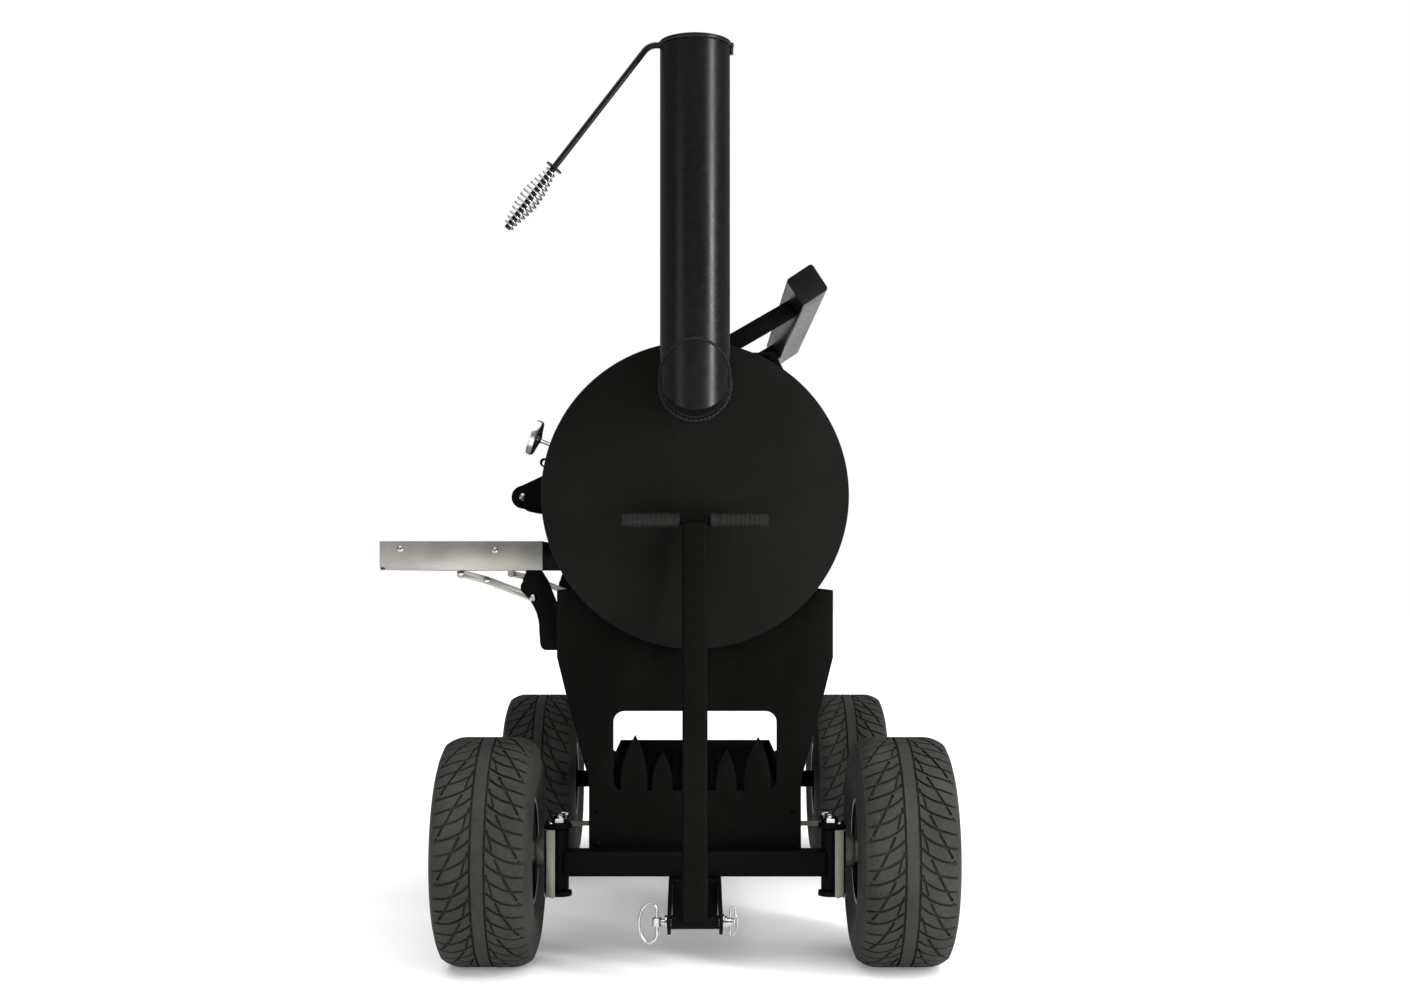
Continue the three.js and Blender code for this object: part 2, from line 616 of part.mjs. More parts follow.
function cartBody() {
  const saddle = (y) => rod("y", CHAMBER.radius + GAP, y - 5, y + 2 * SHEET, 0, CHAMBER.axisZ, chamberSides);

  // Three plain flame tongues stand on the sill of the near panel's window.
  const { halfWidth, lowZ, highZ, corner } = WINDOW;
  const flame = (x, width, height) => {
    const shape = new THREE.Shape();
    shape.moveTo(x - width, lowZ - 8);
    shape.quadraticCurveTo(x - width * 1.2, lowZ + height * 0.5, x + width * 0.1, lowZ + height);
    shape.quadraticCurveTo(x + width * 1.3, lowZ + height * 0.45, x + width, lowZ - 8);
    shape.closePath();
    return plateXZ(shape, frontPanelY, frontPanelY + SHEET, 5);
  };
  const sight = roundedRect(-halfWidth, halfWidth, lowZ, highZ, corner);
  const window = plateXZ(sight, frontPanelY - 1, frontPanelY + 9, 4);
  const blank = plateXZ(panelOutline(true), frontPanelY, frontPanelY + SHEET);
  const front = cut(blank, saddle(frontPanelY), window);
  const flames = [flame(-122, 26, 112), flame(-66, 20, 78), flame(62, 20, 84), flame(124, 26, 108)];
  add("front_panel", join(front, ...flames), "paint");

  const wide = REAR_WINDOW.halfWidth;
  const rearSight = roundedRect(-wide, wide, REAR_WINDOW.lowZ, REAR_WINDOW.highZ, corner);
  const rearWindow = plateXZ(rearSight, rearPanelY - 1, rearPanelY + 9, 4);
  const rear = plateXZ(panelOutline(false), rearPanelY, rearPanelY + SHEET);
  add("rear_panel", cut(rear, saddle(rearPanelY), rearWindow), "paint");

  const innerY0 = frontPanelY + SHEET + GAP;
  const innerY1 = rearPanelY - GAP;
  for (const [name, side] of [
    ["side_rail_left", -1],
    ["side_rail_right", 1],
  ]) {
    const outer = side * PANEL.halfWidth;
    const inner = side * (PANEL.halfWidth - RAIL.lip);
    const web = side * (PANEL.halfWidth - RAIL.thick);
    const [low, high] = [PANEL.topZ - RAIL.height, PANEL.topZ];
    const block = box(Math.min(outer, inner), Math.max(outer, inner), innerY0, innerY1, low, high);
    const across = [Math.min(web, inner - side), Math.max(web, inner - side)];
    const hollow = box(...across, innerY0 - 1, innerY1 + 1, low + RAIL.thick, high - RAIL.thick);
    add(name, cut(block, hollow), "paint");
  }
  for (const [name, side] of [
    ["frame_rail_left", -1],
    ["frame_rail_right", 1],
  ]) {
    const x = side * FRAME_RAIL.offset;
    const { side: square, wall, z: railZ } = FRAME_RAIL;
    const half = square / 2;
    const bare = half - wall;
    const tube = box(x - half, x + half, innerY0, innerY1, railZ, railZ + square);
    const bore = box(x - bare, x + bare, innerY0 - 1, innerY1 + 1, railZ + wall, railZ + square - wall);
    add(name, cut(tube, bore), "paint");
  }

  // The storage tray: a slotted floor inside a raised rim.
  const { halfWidth: w, floorZ, sheet, slots } = TRAY;
  const rimTop = floorZ + TRAY.rim;
  const tray = cut(
    box(-w, w, innerY0 + 1, innerY1 - 1, floorZ - sheet, rimTop),
    box(-w + sheet, w - sheet, innerY0 + 1 + sheet, innerY1 - 1 - sheet, floorZ, rimTop + 1),
  );
  const pitch = (innerY1 - innerY0) / slots;
  const slotX = w / 2 - TRAY.border;
  const slotY = pitch / 2 - TRAY.web;
  const gaps = [];
  for (let i = 0; i < slots; i++) {
    for (const x of [-w / 2, w / 2]) {
      const y = innerY0 + (i + 0.5) * pitch;
      gaps.push(box(x - slotX, x + slotX, y - slotY, y + slotY, floorZ - 9, floorZ + 9));
    }
  }
  add("storage_tray", cut(tray, ...gaps), "paint");
}

// ---- axles, knuckles and wheels ----
function axles() {
  const { side, halfLength, lowZ } = BEAM;
  const bushings = [-1, 1].map((s) =>
    rod("z", KINGPIN.bushing, KNUCKLE.lowZ + KNUCKLE.lug + 3, KNUCKLE.highZ - 3, s * KINGPIN.x, AXLE.y, 16),
  );
  const bores = [-1, 1].map((s) => rod("z", KINGPIN.radius + RUN, 100, 320, s * KINGPIN.x, AXLE.y, 20));
  const beam = box(-halfLength - 8, halfLength + 8, beamY0, beamY1, lowZ, lowZ + side);
  const tongueHole = rod("z", 8 + RUN, lowZ - 9, lowZ + side + 9, 0, AXLE.y, 12);
  add("front_axle_beam", cut(join(beam, ...bushings), ...bores, tongueHole), "paint");

  const rearLow = AXLE.z - side / 2;
  const wide = PANEL.halfWidth;
  const rear = box(-wide, wide, rearAxleY - side / 2, rearAxleY + side / 2, rearLow, rearLow + side);
  const end = AXLE.halfTrack + 56;
  const spindles = [-1, 1].map((s) =>
    rod("x", AXLE.spindle, ...between(s * 270, s * end), rearAxleY, AXLE.z, 20),
  );
  const spacers = [-1, 1].map((s) => rod("x", 22, ...between(s * 275, s * 352), rearAxleY, AXLE.z, 24));
  add("rear_axle_beam", join(rear, ...spindles, ...spacers), "paint");
}

function knuckle(name, side) {
  const span = (a, b) => between(side * a, side * b);
  const { lowZ, highZ, lug, webInner, web, flange } = KNUCKLE;
  const x = side * KINGPIN.x;
  const tieY = AXLE.y + STEER_ARM;
  const top = join(
    rod("z", 24, highZ, highZ + lug, x, AXLE.y, 16),
    box(...span(KINGPIN.x, webInner + web), AXLE.y - 24, AXLE.y + 24, highZ, highZ + lug),
    box(x - 13, x + 13, AXLE.y, tieY, highZ, highZ + lug),
    rod("z", 13, highZ, highZ + lug, x, tieY, 12),
    rod("z", TIE.pin, TIE_Z - TIE.eyeThick / 2 - 3, highZ + 2, x, tieY, 16),
  );
  const bottom = join(
    rod("z", 24, lowZ, lowZ + lug, x, AXLE.y, 16),
    box(...span(KINGPIN.x, webInner + web), AXLE.y - 24, AXLE.y + 24, lowZ, lowZ + lug),
  );
  const channel = cut(
    box(...span(webInner - flange, webInner + web), AXLE.y - 36, AXLE.y + 36, lowZ, highZ + 1),
    box(...span(webInner - flange - 1, webInner), AXLE.y - 30, AXLE.y + 30, lowZ - 1, highZ + 3),
  );
  const pin = rod("z", KINGPIN.radius, lowZ + 2, highZ + lug + 12, x, AXLE.y, 12);
  const nut = rod("z", 16, highZ + lug - 1, highZ + lug + 9, x, AXLE.y, 6);
  const boss = rod("x", 32, ...span(webInner + web - 1, 315), AXLE.y, AXLE.z, 16);
  const spindle = rod("x", AXLE.spindle, ...span(webInner, AXLE.halfTrack + 56), AXLE.y, AXLE.z, 12);
  const collar = rod("x", 22, ...span(315 - 1, 352), AXLE.y, AXLE.z, 16);
  add(name, join(channel, top, bottom, pin, nut, boss, collar, spindle), "zinc");
}

function wheel(place, x, y) {
  const { radius, section, bead, wall, sides } = TYRE;
  const crown = radius / Math.cos(Math.PI / sides); // so that the flats, not the corners, reach the radius
  const half = section / 2;
  const outline = [
    [bead, -half + 18],
    [bead + 62, -half],
    [crown - 14, -half + 10],
    [crown, -half + 40],
    [crown, half - 40],
    [crown - 14, half - 10],
    [bead + 62, half],
    [bead, half - 18],
    [bead, half - 38],
    [bead + 60, half - wall],
    [crown - wall - 4, half - wall - 22],
    [crown - wall - 4, -half + wall + 22],
    [bead + 60, -half + wall],
    [bead, -half + 38],
    [bead, -half + 18],
  ];
  const halfTurn = Math.PI / sides; // brings one flat to the ground
  const shape = turned(outline, sides).rotateZ(halfTurn).rotateY(Math.PI / 2).translate(x, y, AXLE.z);
  add(`tyre_${place}`, solid(shape), "rubber");

  // The rim: a barrel between two flanges, a centre disc and a hub tube.
  const { flange, hub, hubHalf, sheet } = RIM;
  const seat = bead * Math.cos(Math.PI / sides) - GAP;
  const lip = half - 18 + GAP;
  const rest = lip + 2.4; // the flanges stand clear of the tyre's flank
  const bore = AXLE.spindle + RUN;
  const profile = [
    [bore, -hubHalf],
    [hub, -hubHalf],
    [hub, 12],
    [seat - sheet, 16],
    [seat - sheet, -lip - sheet],
    [flange, -lip - sheet],
    [flange, -rest],
    [seat, -rest],
    [seat, rest],
    [flange, rest],
    [flange, lip + sheet],
    [seat - sheet, lip + sheet],
    [seat - sheet, 24],
    [hub, 20],
    [hub, hubHalf],
    [bore, hubHalf],
    [bore, -hubHalf],
  ];
  const rimShape = turned(profile, RIM.sides).rotateY((Math.sign(x) * Math.PI) / 2).translate(x, y, AXLE.z);
  add(`rim_${place}`, solid(rimShape), "satin");
}

function steering() {
  const { outer, plate, pivotY, topZ } = TONGUE;
  const pivotZ = PIN.z;
  const half = outer / 2;
  const tailY = AXLE.y + STEER_ARM;
  const cheek = polygon([
    [AXLE.y + 40, topZ],
    [AXLE.y + 40, topZ - 40],
    [AXLE.y - 40, topZ - 60],
    [pivotY - 8, pivotZ - 22],
    [pivotY - 24, pivotZ - 8],
    [pivotY - 24, pivotZ + 10],
    [pivotY - 8, pivotZ + 22],
    [AXLE.y - 50, topZ],
  ]);
  const hole = rod("x", PIN.radius + RUN, -half - 5, half + 5, pivotY, pivotZ, 12);
  const cheeks = [-1, 1].map((s) => plateYZ(cheek, ...between(s * half, s * (half - plate))));
  const tongue = join(
    ...cheeks.map((c) => cut(c, hole)),
    box(-half + 1, half - 1, AXLE.y - 50, AXLE.y + 40, topZ - 8, topZ),
    box(-16, 16, AXLE.y + 30, tailY, topZ - 8, topZ),
    rod("z", 16, topZ - 8, topZ, 0, tailY, 12),
    rod("z", 10, topZ - 2, TIE_Z - TIE.eyeThick / 2 - 2, 0, tailY, 16),
    rod("z", TIE.pin, topZ, TIE_Z + TIE.eyeThick / 2 + 4, 0, tailY, 16),
    rod("z", 8, topZ - 4, BEAM.lowZ + BEAM.side + 12, 0, AXLE.y, 12),
    rod("z", 14, BEAM.lowZ + BEAM.side + 1.5, BEAM.lowZ + BEAM.side + 13, 0, AXLE.y, 6),
  );
  add("tongue", tongue, "paint");

  const eyes = [-KINGPIN.x, 0, KINGPIN.x];
  const low = TIE_Z - TIE.eyeThick / 2;
  const tie = cut(
    join(
      rod("x", TIE.radius, -KINGPIN.x, KINGPIN.x, tailY, TIE_Z, 12),
      ...eyes.map((x) => rod("z", x ? TIE.eye : TIE.eye + 1, low, low + TIE.eyeThick, x, tailY, 20)),
    ),
    ...eyes.map((x) => rod("z", TIE.pin + RUN + (x ? 0.5 : 0), low - 5, low + 20, x, tailY, 16)),
  );
  add("tie_rod", tie, "zinc");

  const { radius, headRadius, eyeX } = PIN;
  const head = -half - GAP;
  const eyeHalf = 8;
  const pinBody = join(
    rod("x", radius, head - 1, half + 22, pivotY, pivotZ, 12),
    rod("x", headRadius, head - 5, head, pivotY, pivotZ, 12),
    box(eyeX - 7, head - 2, pivotY - eyeHalf, pivotY + eyeHalf, pivotZ - 5, pivotZ + 5),
  );
  const ringHole = rod("z", 4.6, pivotZ - 9, pivotZ + 9, eyeX, pivotY, 16);
  const clipX = half + 14;
  const clipHole = rod("z", 3.2, pivotZ - 20, pivotZ + 20, clipX, pivotY, 12);
  add("hitch_pin", cut(pinBody, ringHole, clipHole), "chrome");

  const wire = 2.8;
  const ringHalf = 15.7;
  const ring = new THREE.TorusGeometry(ringHalf, wire, 6, 20).rotateX(Math.PI / 2).scale(1, 1, 2.1);
  add("pin_ring", solid(ring.translate(eyeX - ringHalf, pivotY, pivotZ - 2)), "chrome");

  const clip = new THREE.TorusGeometry(11, 1.5, 6, 18).rotateX(Math.PI / 2).scale(1, 1, 2.6);
  add("pin_clip", solid(clip.translate(clipX + 11, pivotY, pivotZ - 4)), "chrome");
}

// The tow handle is built upright over its pivot, then leant back towards the chamber's end plate.
function towHandle() {
  const { side, reach, leanDeg, tube, barHalf, bar } = TOW;
  const lean = new THREE.Group();
  lean.position.set(0, TONGUE.pivotY, PIN.z);
  lean.rotation.x = -THREE.MathUtils.degToRad(leanDeg);
  model.add(lean);
  const half = side / 2;
  const barZ = reach + 14;
  const tubeHalf = TONGUE.outer / 2 - TONGUE.plate - RUN;
  const shaft = new THREE.ExtrudeGeometry(roundedRect(-half, half, -half, half, 5), {
    depth: reach + 6,
    bevelEnabled: false,
    curveSegments: 3,
  });
  const body = cut(
    join(
      solid(shaft),
      rod("x", tube, -tubeHalf, tubeHalf, 0, 0, 16),
      rod("x", bar, -barHalf, barHalf, 0, barZ, 12),
    ),
    rod("x", PIN.radius + RUN, -tubeHalf - 1, tubeHalf + 1, 0, 0, 12),
  );
  add("tow_handle", body, "satin", lean);
  for (const [name, s] of [
    ["grip_left", -1],
    ["grip_right", 1],
  ]) {
    const [from, to] = between(s * GRIP.from, s * GRIP.to);
    add(name, pipe("x", GRIP.radius, bar + GAP, from, to, 0, barZ, 12), "grip", lean);
  }
}

// ---- folding shelf, its brackets and stays ----
function shelf() {
  const { width, lowZ, highZ, startY, length, sheet } = SHELF;
  const innerX = SHELF_X;
  const outerX = SHELF_X - width;
  const endY = startY + length;
  const tray = cut(
    box(outerX, innerX, startY, endY, lowZ, highZ),
    box(outerX + sheet, innerX - sheet, startY + sheet, endY - sheet, lowZ - 1, highZ - sheet),
  );
  const pin = rod("y", FOLD.pin, startY + 1, endY - 1, FOLD.x, FOLD.z, 14);
  const lugs = [];
  const { shelfX, shelfZ, half, thick, step } = STAY;
  for (const end of ["near", "far"]) {
    const out = end === "near" ? 1 : -1; // direction from the shelf's end towards its middle
    const base = end === "near" ? startY + BRACKET.inset : endY - BRACKET.inset;
    const at = (a, b) => between(base + out * a, base + out * b);
    const { boltX, boltZ, footZ, flangeZ } = BRACKET;
    const backX = -PANEL.halfWidth - 7;
    const outline = new THREE.Shape();
    outline.moveTo(backX, footZ);
    outline.lineTo(backX, flangeZ);
    outline.lineTo(boltX + 31, boltZ + 35);
    outline.lineTo(FOLD.x + 13, FOLD.z - 20);
    outline.absarc(FOLD.x, FOLD.z, 13, 0, Math.PI);
    outline.lineTo(FOLD.x - 13, FOLD.z - 34);
    outline.lineTo(boltX - 21, boltZ + 39);
    outline.absarc(boltX - 10, boltZ + 22, 16, 0.75 * Math.PI, 1.35 * Math.PI);
    outline.quadraticCurveTo(boltX + 13, boltZ - 25, boltX + 12, footZ + 41);
    outline.lineTo(boltX + 14, footZ + 14);
    outline.quadraticCurveTo(boltX + 16, footZ, boltX + 29, footZ);
    outline.closePath();
    const y = at(0, BRACKET.thick);
    const foot = at(0, 38);
    const bracket = cut(
      join(
        plateXZ(outline, ...y, 8),
        box(backX - 1, -PANEL.halfWidth - GAP, ...foot, footZ, flangeZ),
        rod("y", 4, ...at(BRACKET.thick - 1, BRACKET.thick + step + 0.6), boltX, boltZ, 14),
      ),
      rod("y", FOLD.pin + RUN, ...at(-3, BRACKET.thick + 3), FOLD.x, FOLD.z, 14),
    );
    add(`shelf_bracket_${end}`, bracket, "paint");

    const lowerY = at(BRACKET.thick + 0.6, BRACKET.thick + 0.6 + thick);
    const upperFrom = BRACKET.thick + 0.6 + step;
    const upperY = at(upperFrom, upperFrom + thick);
    const lower = cut(
      plateXZ(link(boltX, boltZ, STAY.elbowX, STAY.elbowZ, half), ...lowerY, 6),
      rod("y", 4 + RUN, lowerY[0] - 3, lowerY[1] + 3, boltX, boltZ, 14),
    );
    add(`stay_lower_${end}`, lower, "stainless");
    const upper = cut(
      plateXZ(link(STAY.elbowX, STAY.elbowZ, shelfX, shelfZ, half), ...upperY, 6),
      rod("y", 4 + RUN, upperY[0] - 3, upperY[1] + 3, shelfX, shelfZ, 14),
    );
    add(`stay_upper_${end}`, upper, "stainless");

    const lugFrom = upperFrom + step;
    lugs.push(
      plateXZ(
        polygon([
          [shelfX - 12, highZ - 1],
          [shelfX - 9, shelfZ - 6],
          [shelfX, shelfZ - 10],
          [shelfX + 9, shelfZ - 6],
          [shelfX + 12, highZ - 1],
        ]),
        ...at(lugFrom, lugFrom + thick),
      ),
      rod("y", 4, ...at(upperFrom, lugFrom + 1), shelfX, shelfZ, 14),
    );
  }
  add("shelf_top", join(tray, pin, ...lugs), "stainless");
}

// ---- drain under the chamber ----
function drain() {
  const y = CHAMBER.length / 2;
  const top = CHAMBER.axisZ - CHAMBER.radius;
  const body = join(
    rod("z", 13.5, top - 70, top + 8, 0, y, 16),
    rod("z", 20, top - 14, top - 4.5, 0, y, 16),
    rod("z", 20, top - 56, top - 32, 0, y, 6),
    rod("x", 5, 10, 34, y, top - 44, 16),
  );
  add("drain_valve", cut(body, rod("z", 9, top - 80, top + 20, 0, y, 12)), "steel");
  const hub = rod("x", 11, 24, 29, y, top - 44, 12);
  const blade = box(24, 28, y - 90, y, top - 51, top - 37);
  add("drain_lever", cut(join(hub, blade), rod("x", 5 + RUN, 20, 40, y, top - 44, 16)), "zinc");
}

chamber();
cookingGrate();
stack();
lidRod();
door();
thermometer();
counterweight();
doorHandle();
firebox();
cartBody();
axles();
knuckle("knuckle_left", -1);
knuckle("knuckle_right", 1);
wheel("front_left", -AXLE.halfTrack, AXLE.y);
wheel("front_right", AXLE.halfTrack, AXLE.y);
wheel("rear_left", -AXLE.halfTrack, rearAxleY);
wheel("rear_right", AXLE.halfTrack, rearAxleY);
steering();
towHandle();
shelf();
drain();

// The origin is the bottom centre of the whole object's box.
const bounds = new THREE.Box3().setFromObject(model, true);
model.position.set(
  -(bounds.min.x + bounds.max.x) / 2,
  -(bounds.min.y + bounds.max.y) / 2,
  -bounds.min.z,
);

export default group;
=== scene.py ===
"""Visual model of an offset smoker on a four-wheel cart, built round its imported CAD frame."""

import json
import logging
import math
from dataclasses import dataclass
from enum import Enum
from typing import Callable, Iterable, Optional, Sequence

import bpy
from mathutils import Matrix, Vector

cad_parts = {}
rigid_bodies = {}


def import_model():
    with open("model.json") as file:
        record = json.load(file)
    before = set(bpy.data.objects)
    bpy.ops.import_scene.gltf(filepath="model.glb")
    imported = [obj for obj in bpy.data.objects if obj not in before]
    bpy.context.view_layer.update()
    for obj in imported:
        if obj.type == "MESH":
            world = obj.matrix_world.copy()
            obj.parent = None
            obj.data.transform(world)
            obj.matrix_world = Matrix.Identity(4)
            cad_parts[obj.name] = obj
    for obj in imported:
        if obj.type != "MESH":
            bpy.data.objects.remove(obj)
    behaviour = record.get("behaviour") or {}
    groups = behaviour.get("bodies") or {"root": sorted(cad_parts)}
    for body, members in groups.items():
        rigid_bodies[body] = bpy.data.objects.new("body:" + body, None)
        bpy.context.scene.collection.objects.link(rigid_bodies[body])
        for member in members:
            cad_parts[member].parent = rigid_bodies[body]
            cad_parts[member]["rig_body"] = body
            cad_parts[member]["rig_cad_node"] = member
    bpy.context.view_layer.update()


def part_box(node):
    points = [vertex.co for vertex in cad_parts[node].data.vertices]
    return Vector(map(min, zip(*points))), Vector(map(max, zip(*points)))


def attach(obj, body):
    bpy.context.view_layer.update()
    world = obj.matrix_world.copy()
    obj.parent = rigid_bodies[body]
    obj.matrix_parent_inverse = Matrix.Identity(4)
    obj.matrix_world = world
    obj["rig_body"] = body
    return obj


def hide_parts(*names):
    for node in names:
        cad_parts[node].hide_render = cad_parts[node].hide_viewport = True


LOG = logging.getLogger("offset_smoker")
MM = 0.001
GAP = 0.3  # between neighbouring pieces, in millimetres
CHAMBER_Z = 930.0  # height of the chamber's axis, in millimetres
Pair = tuple[float, float]
Triple = tuple[float, float, float]
Colour = tuple[float, float, float]


class Axis(Enum):
    """The three directions that pieces are turned or extruded along."""

    X = "x"
    Y = "y"
    Z = "z"

    @property
    def direction(self) -> Vector:
        """The axis as a unit vector."""
        return Vector([1.0 if self.value == letter else 0.0 for letter in "xyz"])


# ---------------------------------------------------------------- materials


class Value:
    """A number in a material; Python's operators on it add Math nodes."""

    def __init__(self, graph: "Graph", socket: bpy.types.NodeSocket) -> None:
        """Wraps one output socket of the graph."""
        self.graph = graph
        self.socket = socket

    def _math(self, operation: str, first: object, second: object) -> "Value":
        """Adds one Math node.

        Args:
            operation: the node's operation.
            first: a Value or a number.
            second: a Value or a number.

        Returns:
            The node's result.
        """
        node = self.graph.node("ShaderNodeMath", {"operation": operation}, {0: first, 1: second})
        return Value(self.graph, node.outputs[0])

    def __add__(self, other: object) -> "Value":
        """Sum."""
        return self._math("ADD", self, other)

    def __radd__(self, other: object) -> "Value":
        """Sum with a number on the left."""
        return self._math("ADD", other, self)

    def __sub__(self, other: object) -> "Value":
        """Difference."""
        return self._math("SUBTRACT", self, other)

    def __rsub__(self, other: object) -> "Value":
        """Difference from a number on the left."""
        return self._math("SUBTRACT", other, self)

    def __mul__(self, other: object) -> "Value":
        """Product."""
        return self._math("MULTIPLY", self, other)

    def __rmul__(self, other: object) -> "Value":
        """Product with a number on the left."""
        return self._math("MULTIPLY", other, self)

    def __pow__(self, other: object) -> "Value":
        """Power."""
        return self._math("POWER", self, other)


class Graph:
    """The node tree of one material."""

    def __init__(self, name: str) -> None:
        """Starts an empty material with an output and a Principled shader."""
        self.material = bpy.data.materials.new(name)
        self.material.use_nodes = True
        self.tree = self.material.node_tree
        self.tree.nodes.clear()
        self.out = self.tree.nodes.new("ShaderNodeOutputMaterial")
        self.shader = self.tree.nodes.new("ShaderNodeBsdfPrincipled")
        self.tree.links.new(self.shader.outputs[0], self.out.inputs[0])

    def node(self, kind: str, settings: dict, sockets: dict) -> bpy.types.Node:
        """Adds one node.

        Args:
            kind: the node's type.
            settings: its properties, set first; "stops" holds a ramp's stops.
            sockets: input index or name to a Value, a socket or a constant.

        Returns:
            The node.
        """
        node = self.tree.nodes.new(kind)
        for key, value in settings.items():
            if key == "stops":
                self._stops(node, value)
            else:
                setattr(node, key, value)
        for key, value in sockets.items():
            self.feed(node.inputs[key], value)
        return node

    @staticmethod
    def _stops(node: bpy.types.Node, stops: Sequence[tuple[float, Colour]]) -> None:
        """Sets a colour ramp's stops from (position, colour) pairs."""
        elements = node.color_ramp.elements
        while len(elements) < len(stops):
            elements.new(0.5)
        for element, (position, colour) in zip(elements, stops):
            element.position = position
            element.color = (*colour, 1.0)

    def feed(self, socket: bpy.types.NodeSocket, value: object) -> None:
        """Links a Value or socket to an input, or sets the input's constant."""
        if isinstance(value, Value):
            self.tree.links.new(value.socket, socket)
        elif isinstance(value, bpy.types.NodeSocket):
            self.tree.links.new(value, socket)
        else:
            socket.default_value = value

    def coordinates(self, stretch: Triple = (1.0, 1.0, 1.0)) -> bpy.types.NodeSocket:
        """Object coordinates, stretched per axis, for a pattern."""
        texture = self.node("ShaderNodeTexCoord", {}, {})
        mapping = self.node("ShaderNodeMapping", {}, {0: texture.outputs["Object"], "Scale": stretch})
        return mapping.outputs[0]

    def noise(self, scale: float, detail: float = 3.0, stretch: Triple = (1.0, 1.0, 1.0)) -> Value:
        """Noise over the object.

        Args:
            scale: waves per metre.
            detail: octaves.
            stretch: scale per axis, for a brushed or streaked pattern.

        Returns:
            The noise, mostly between 0.3 and 0.7.
        """
        sockets = {"Vector": self.coordinates(stretch), "Scale": scale, "Detail": detail}
        return Value(self, self.node("ShaderNodeTexNoise", {}, sockets).outputs[0])

    def cells(self, scale: float) -> Value:
        """Distance to the middle of random cells, for spangle and pebble patterns."""
        sockets = {"Vector": self.coordinates(), "Scale": scale}
        return Value(self, self.node("ShaderNodeTexVoronoi", {}, sockets).outputs[0])

    def limits(self, value: Value, low: Pair, high: Pair) -> Value:
        """Maps a value's range to another range, clamped.

        Args:
            value: what is mapped.
            low: the value that gives the low result, and that result.
            high: the value that gives the high result, and that result.

        Returns:
            The mapped value.
        """
        sockets = {0: value, 1: low[0], 2: high[0], 3: low[1], 4: high[1]}
        return Value(self, self.node("ShaderNodeMapRange", {}, sockets).outputs[0])

    def blend(self, factor: object, first: object, second: object) -> bpy.types.NodeSocket:
        """Mixes two colours; a plain colour tuple is taken as a constant."""
        colours = [(*c, 1.0) if isinstance(c, tuple) else c for c in (first, second)]
        sockets = {0: factor, 6: colours[0], 7: colours[1]}
        return self.node("ShaderNodeMix", {"data_type": "RGBA"}, sockets).outputs[2]

    def bump(self, height: Value, strength: float, distance: float) -> bpy.types.NodeSocket:
        """Turns a height in millimetres-like units into a normal."""
        sockets = {"Height": height, "Strength": strength, "Distance": distance}
        return self.node("ShaderNodeBump", {}, sockets).outputs[0]

    def shade(self, **sockets: object) -> bpy.types.Material:
        """Feeds the Principled shader; underscores in a name stand for spaces.

        Args:
            **sockets: socket names and their values.

        Returns:
            The finished material.
        """
        for name, value in sockets.items():
            value = (*value, 1.0) if isinstance(value, tuple) and len(value) == 3 else value
            self.feed(self.shader.inputs[name.replace("_", " ")], value)
        return self.material


@dataclass(frozen=True)
class Finish:
    """One material: its record slot, its colours and how it is laid on."""

    name: str
    slot: str
    colour: Colour
    second: Colour
    rough: Pair
    metallic: float = 0.0
    specular: float = 0.5

    def material(self) -> bpy.types.Material:
        """The finish's material, built the first time it is asked for."""
        found = bpy.data.materials.get(self.name)
        return found if found else self.build(Graph(self.name))

    def build(self, g: Graph) -> bpy.types.Material:
        """Lays the finish's nodes; each kind of finish has its own."""
        raise NotImplementedError


@dataclass(frozen=True)
class Paint(Finish):
    """Heat-proof paint on steel: a fine peel, faint clouds and a few rubbed patches."""

    peel: float = 900.0
    peel_depth: float = 0.12

    def build(self, g: Graph) -> bpy.types.Material:
        """Paint nodes."""
        clouds = g.noise(5.0, 5.0)
        dust = g.noise(55.0, 6.0)
        patches = g.limits(clouds * 0.6 + dust * 0.4, (0.38, 0.0), (0.66, 1.0))
        streaks = g.noise(18.0, 3.0, (1.0, 1.0, 0.12))
        colour = g.blend(patches, self.colour, self.second)
        rough = g.limits(streaks * 0.5 + dust * 0.5, (0.36, self.rough[0]), (0.64, self.rough[1]))
        skin = g.noise(self.peel, 2.0) + g.noise(self.peel * 0.22, 2.0) * 0.8
        normal = g.bump(skin, self.peel_depth, 0.0006)
        return g.shade(Base_Color=colour, Roughness=rough, Normal=normal, Specular_IOR_Level=self.specular)


@dataclass(frozen=True)
class Metal(Finish):
    """Bare or plated metal: grain along one direction, spangle and stains."""

    grain: Triple = (1.0, 1.0, 1.0)
    grain_scale: float = 220.0
    spangle: float = 0.0
    bump_depth: float = 0.05

    def build(self, g: Graph) -> bpy.types.Material:
        """Metal nodes."""
        grain = g.noise(self.grain_scale, 4.0, self.grain)
        stains = g.noise(14.0, 5.0)
        mask = g.limits(stains * 0.7 + grain * 0.3, (0.35, 0.0), (0.65, 1.0))
        if self.spangle:
            mask = mask * 0.6 + g.limits(g.cells(self.spangle), (0.1, 0.0), (0.8, 0.4))
        colour = g.blend(mask, self.colour, self.second)
        rough = g.limits(grain * 0.6 + stains * 0.4, (0.35, self.rough[0]), (0.65, self.rough[1]))
        normal = g.bump(grain, self.bump_depth, 0.0004)
        return g.shade(
            Base_Color=colour,
            Roughness=rough,
            Metallic=self.metallic,
            Normal=normal,
            Specular_IOR_Level=self.specular,
        )


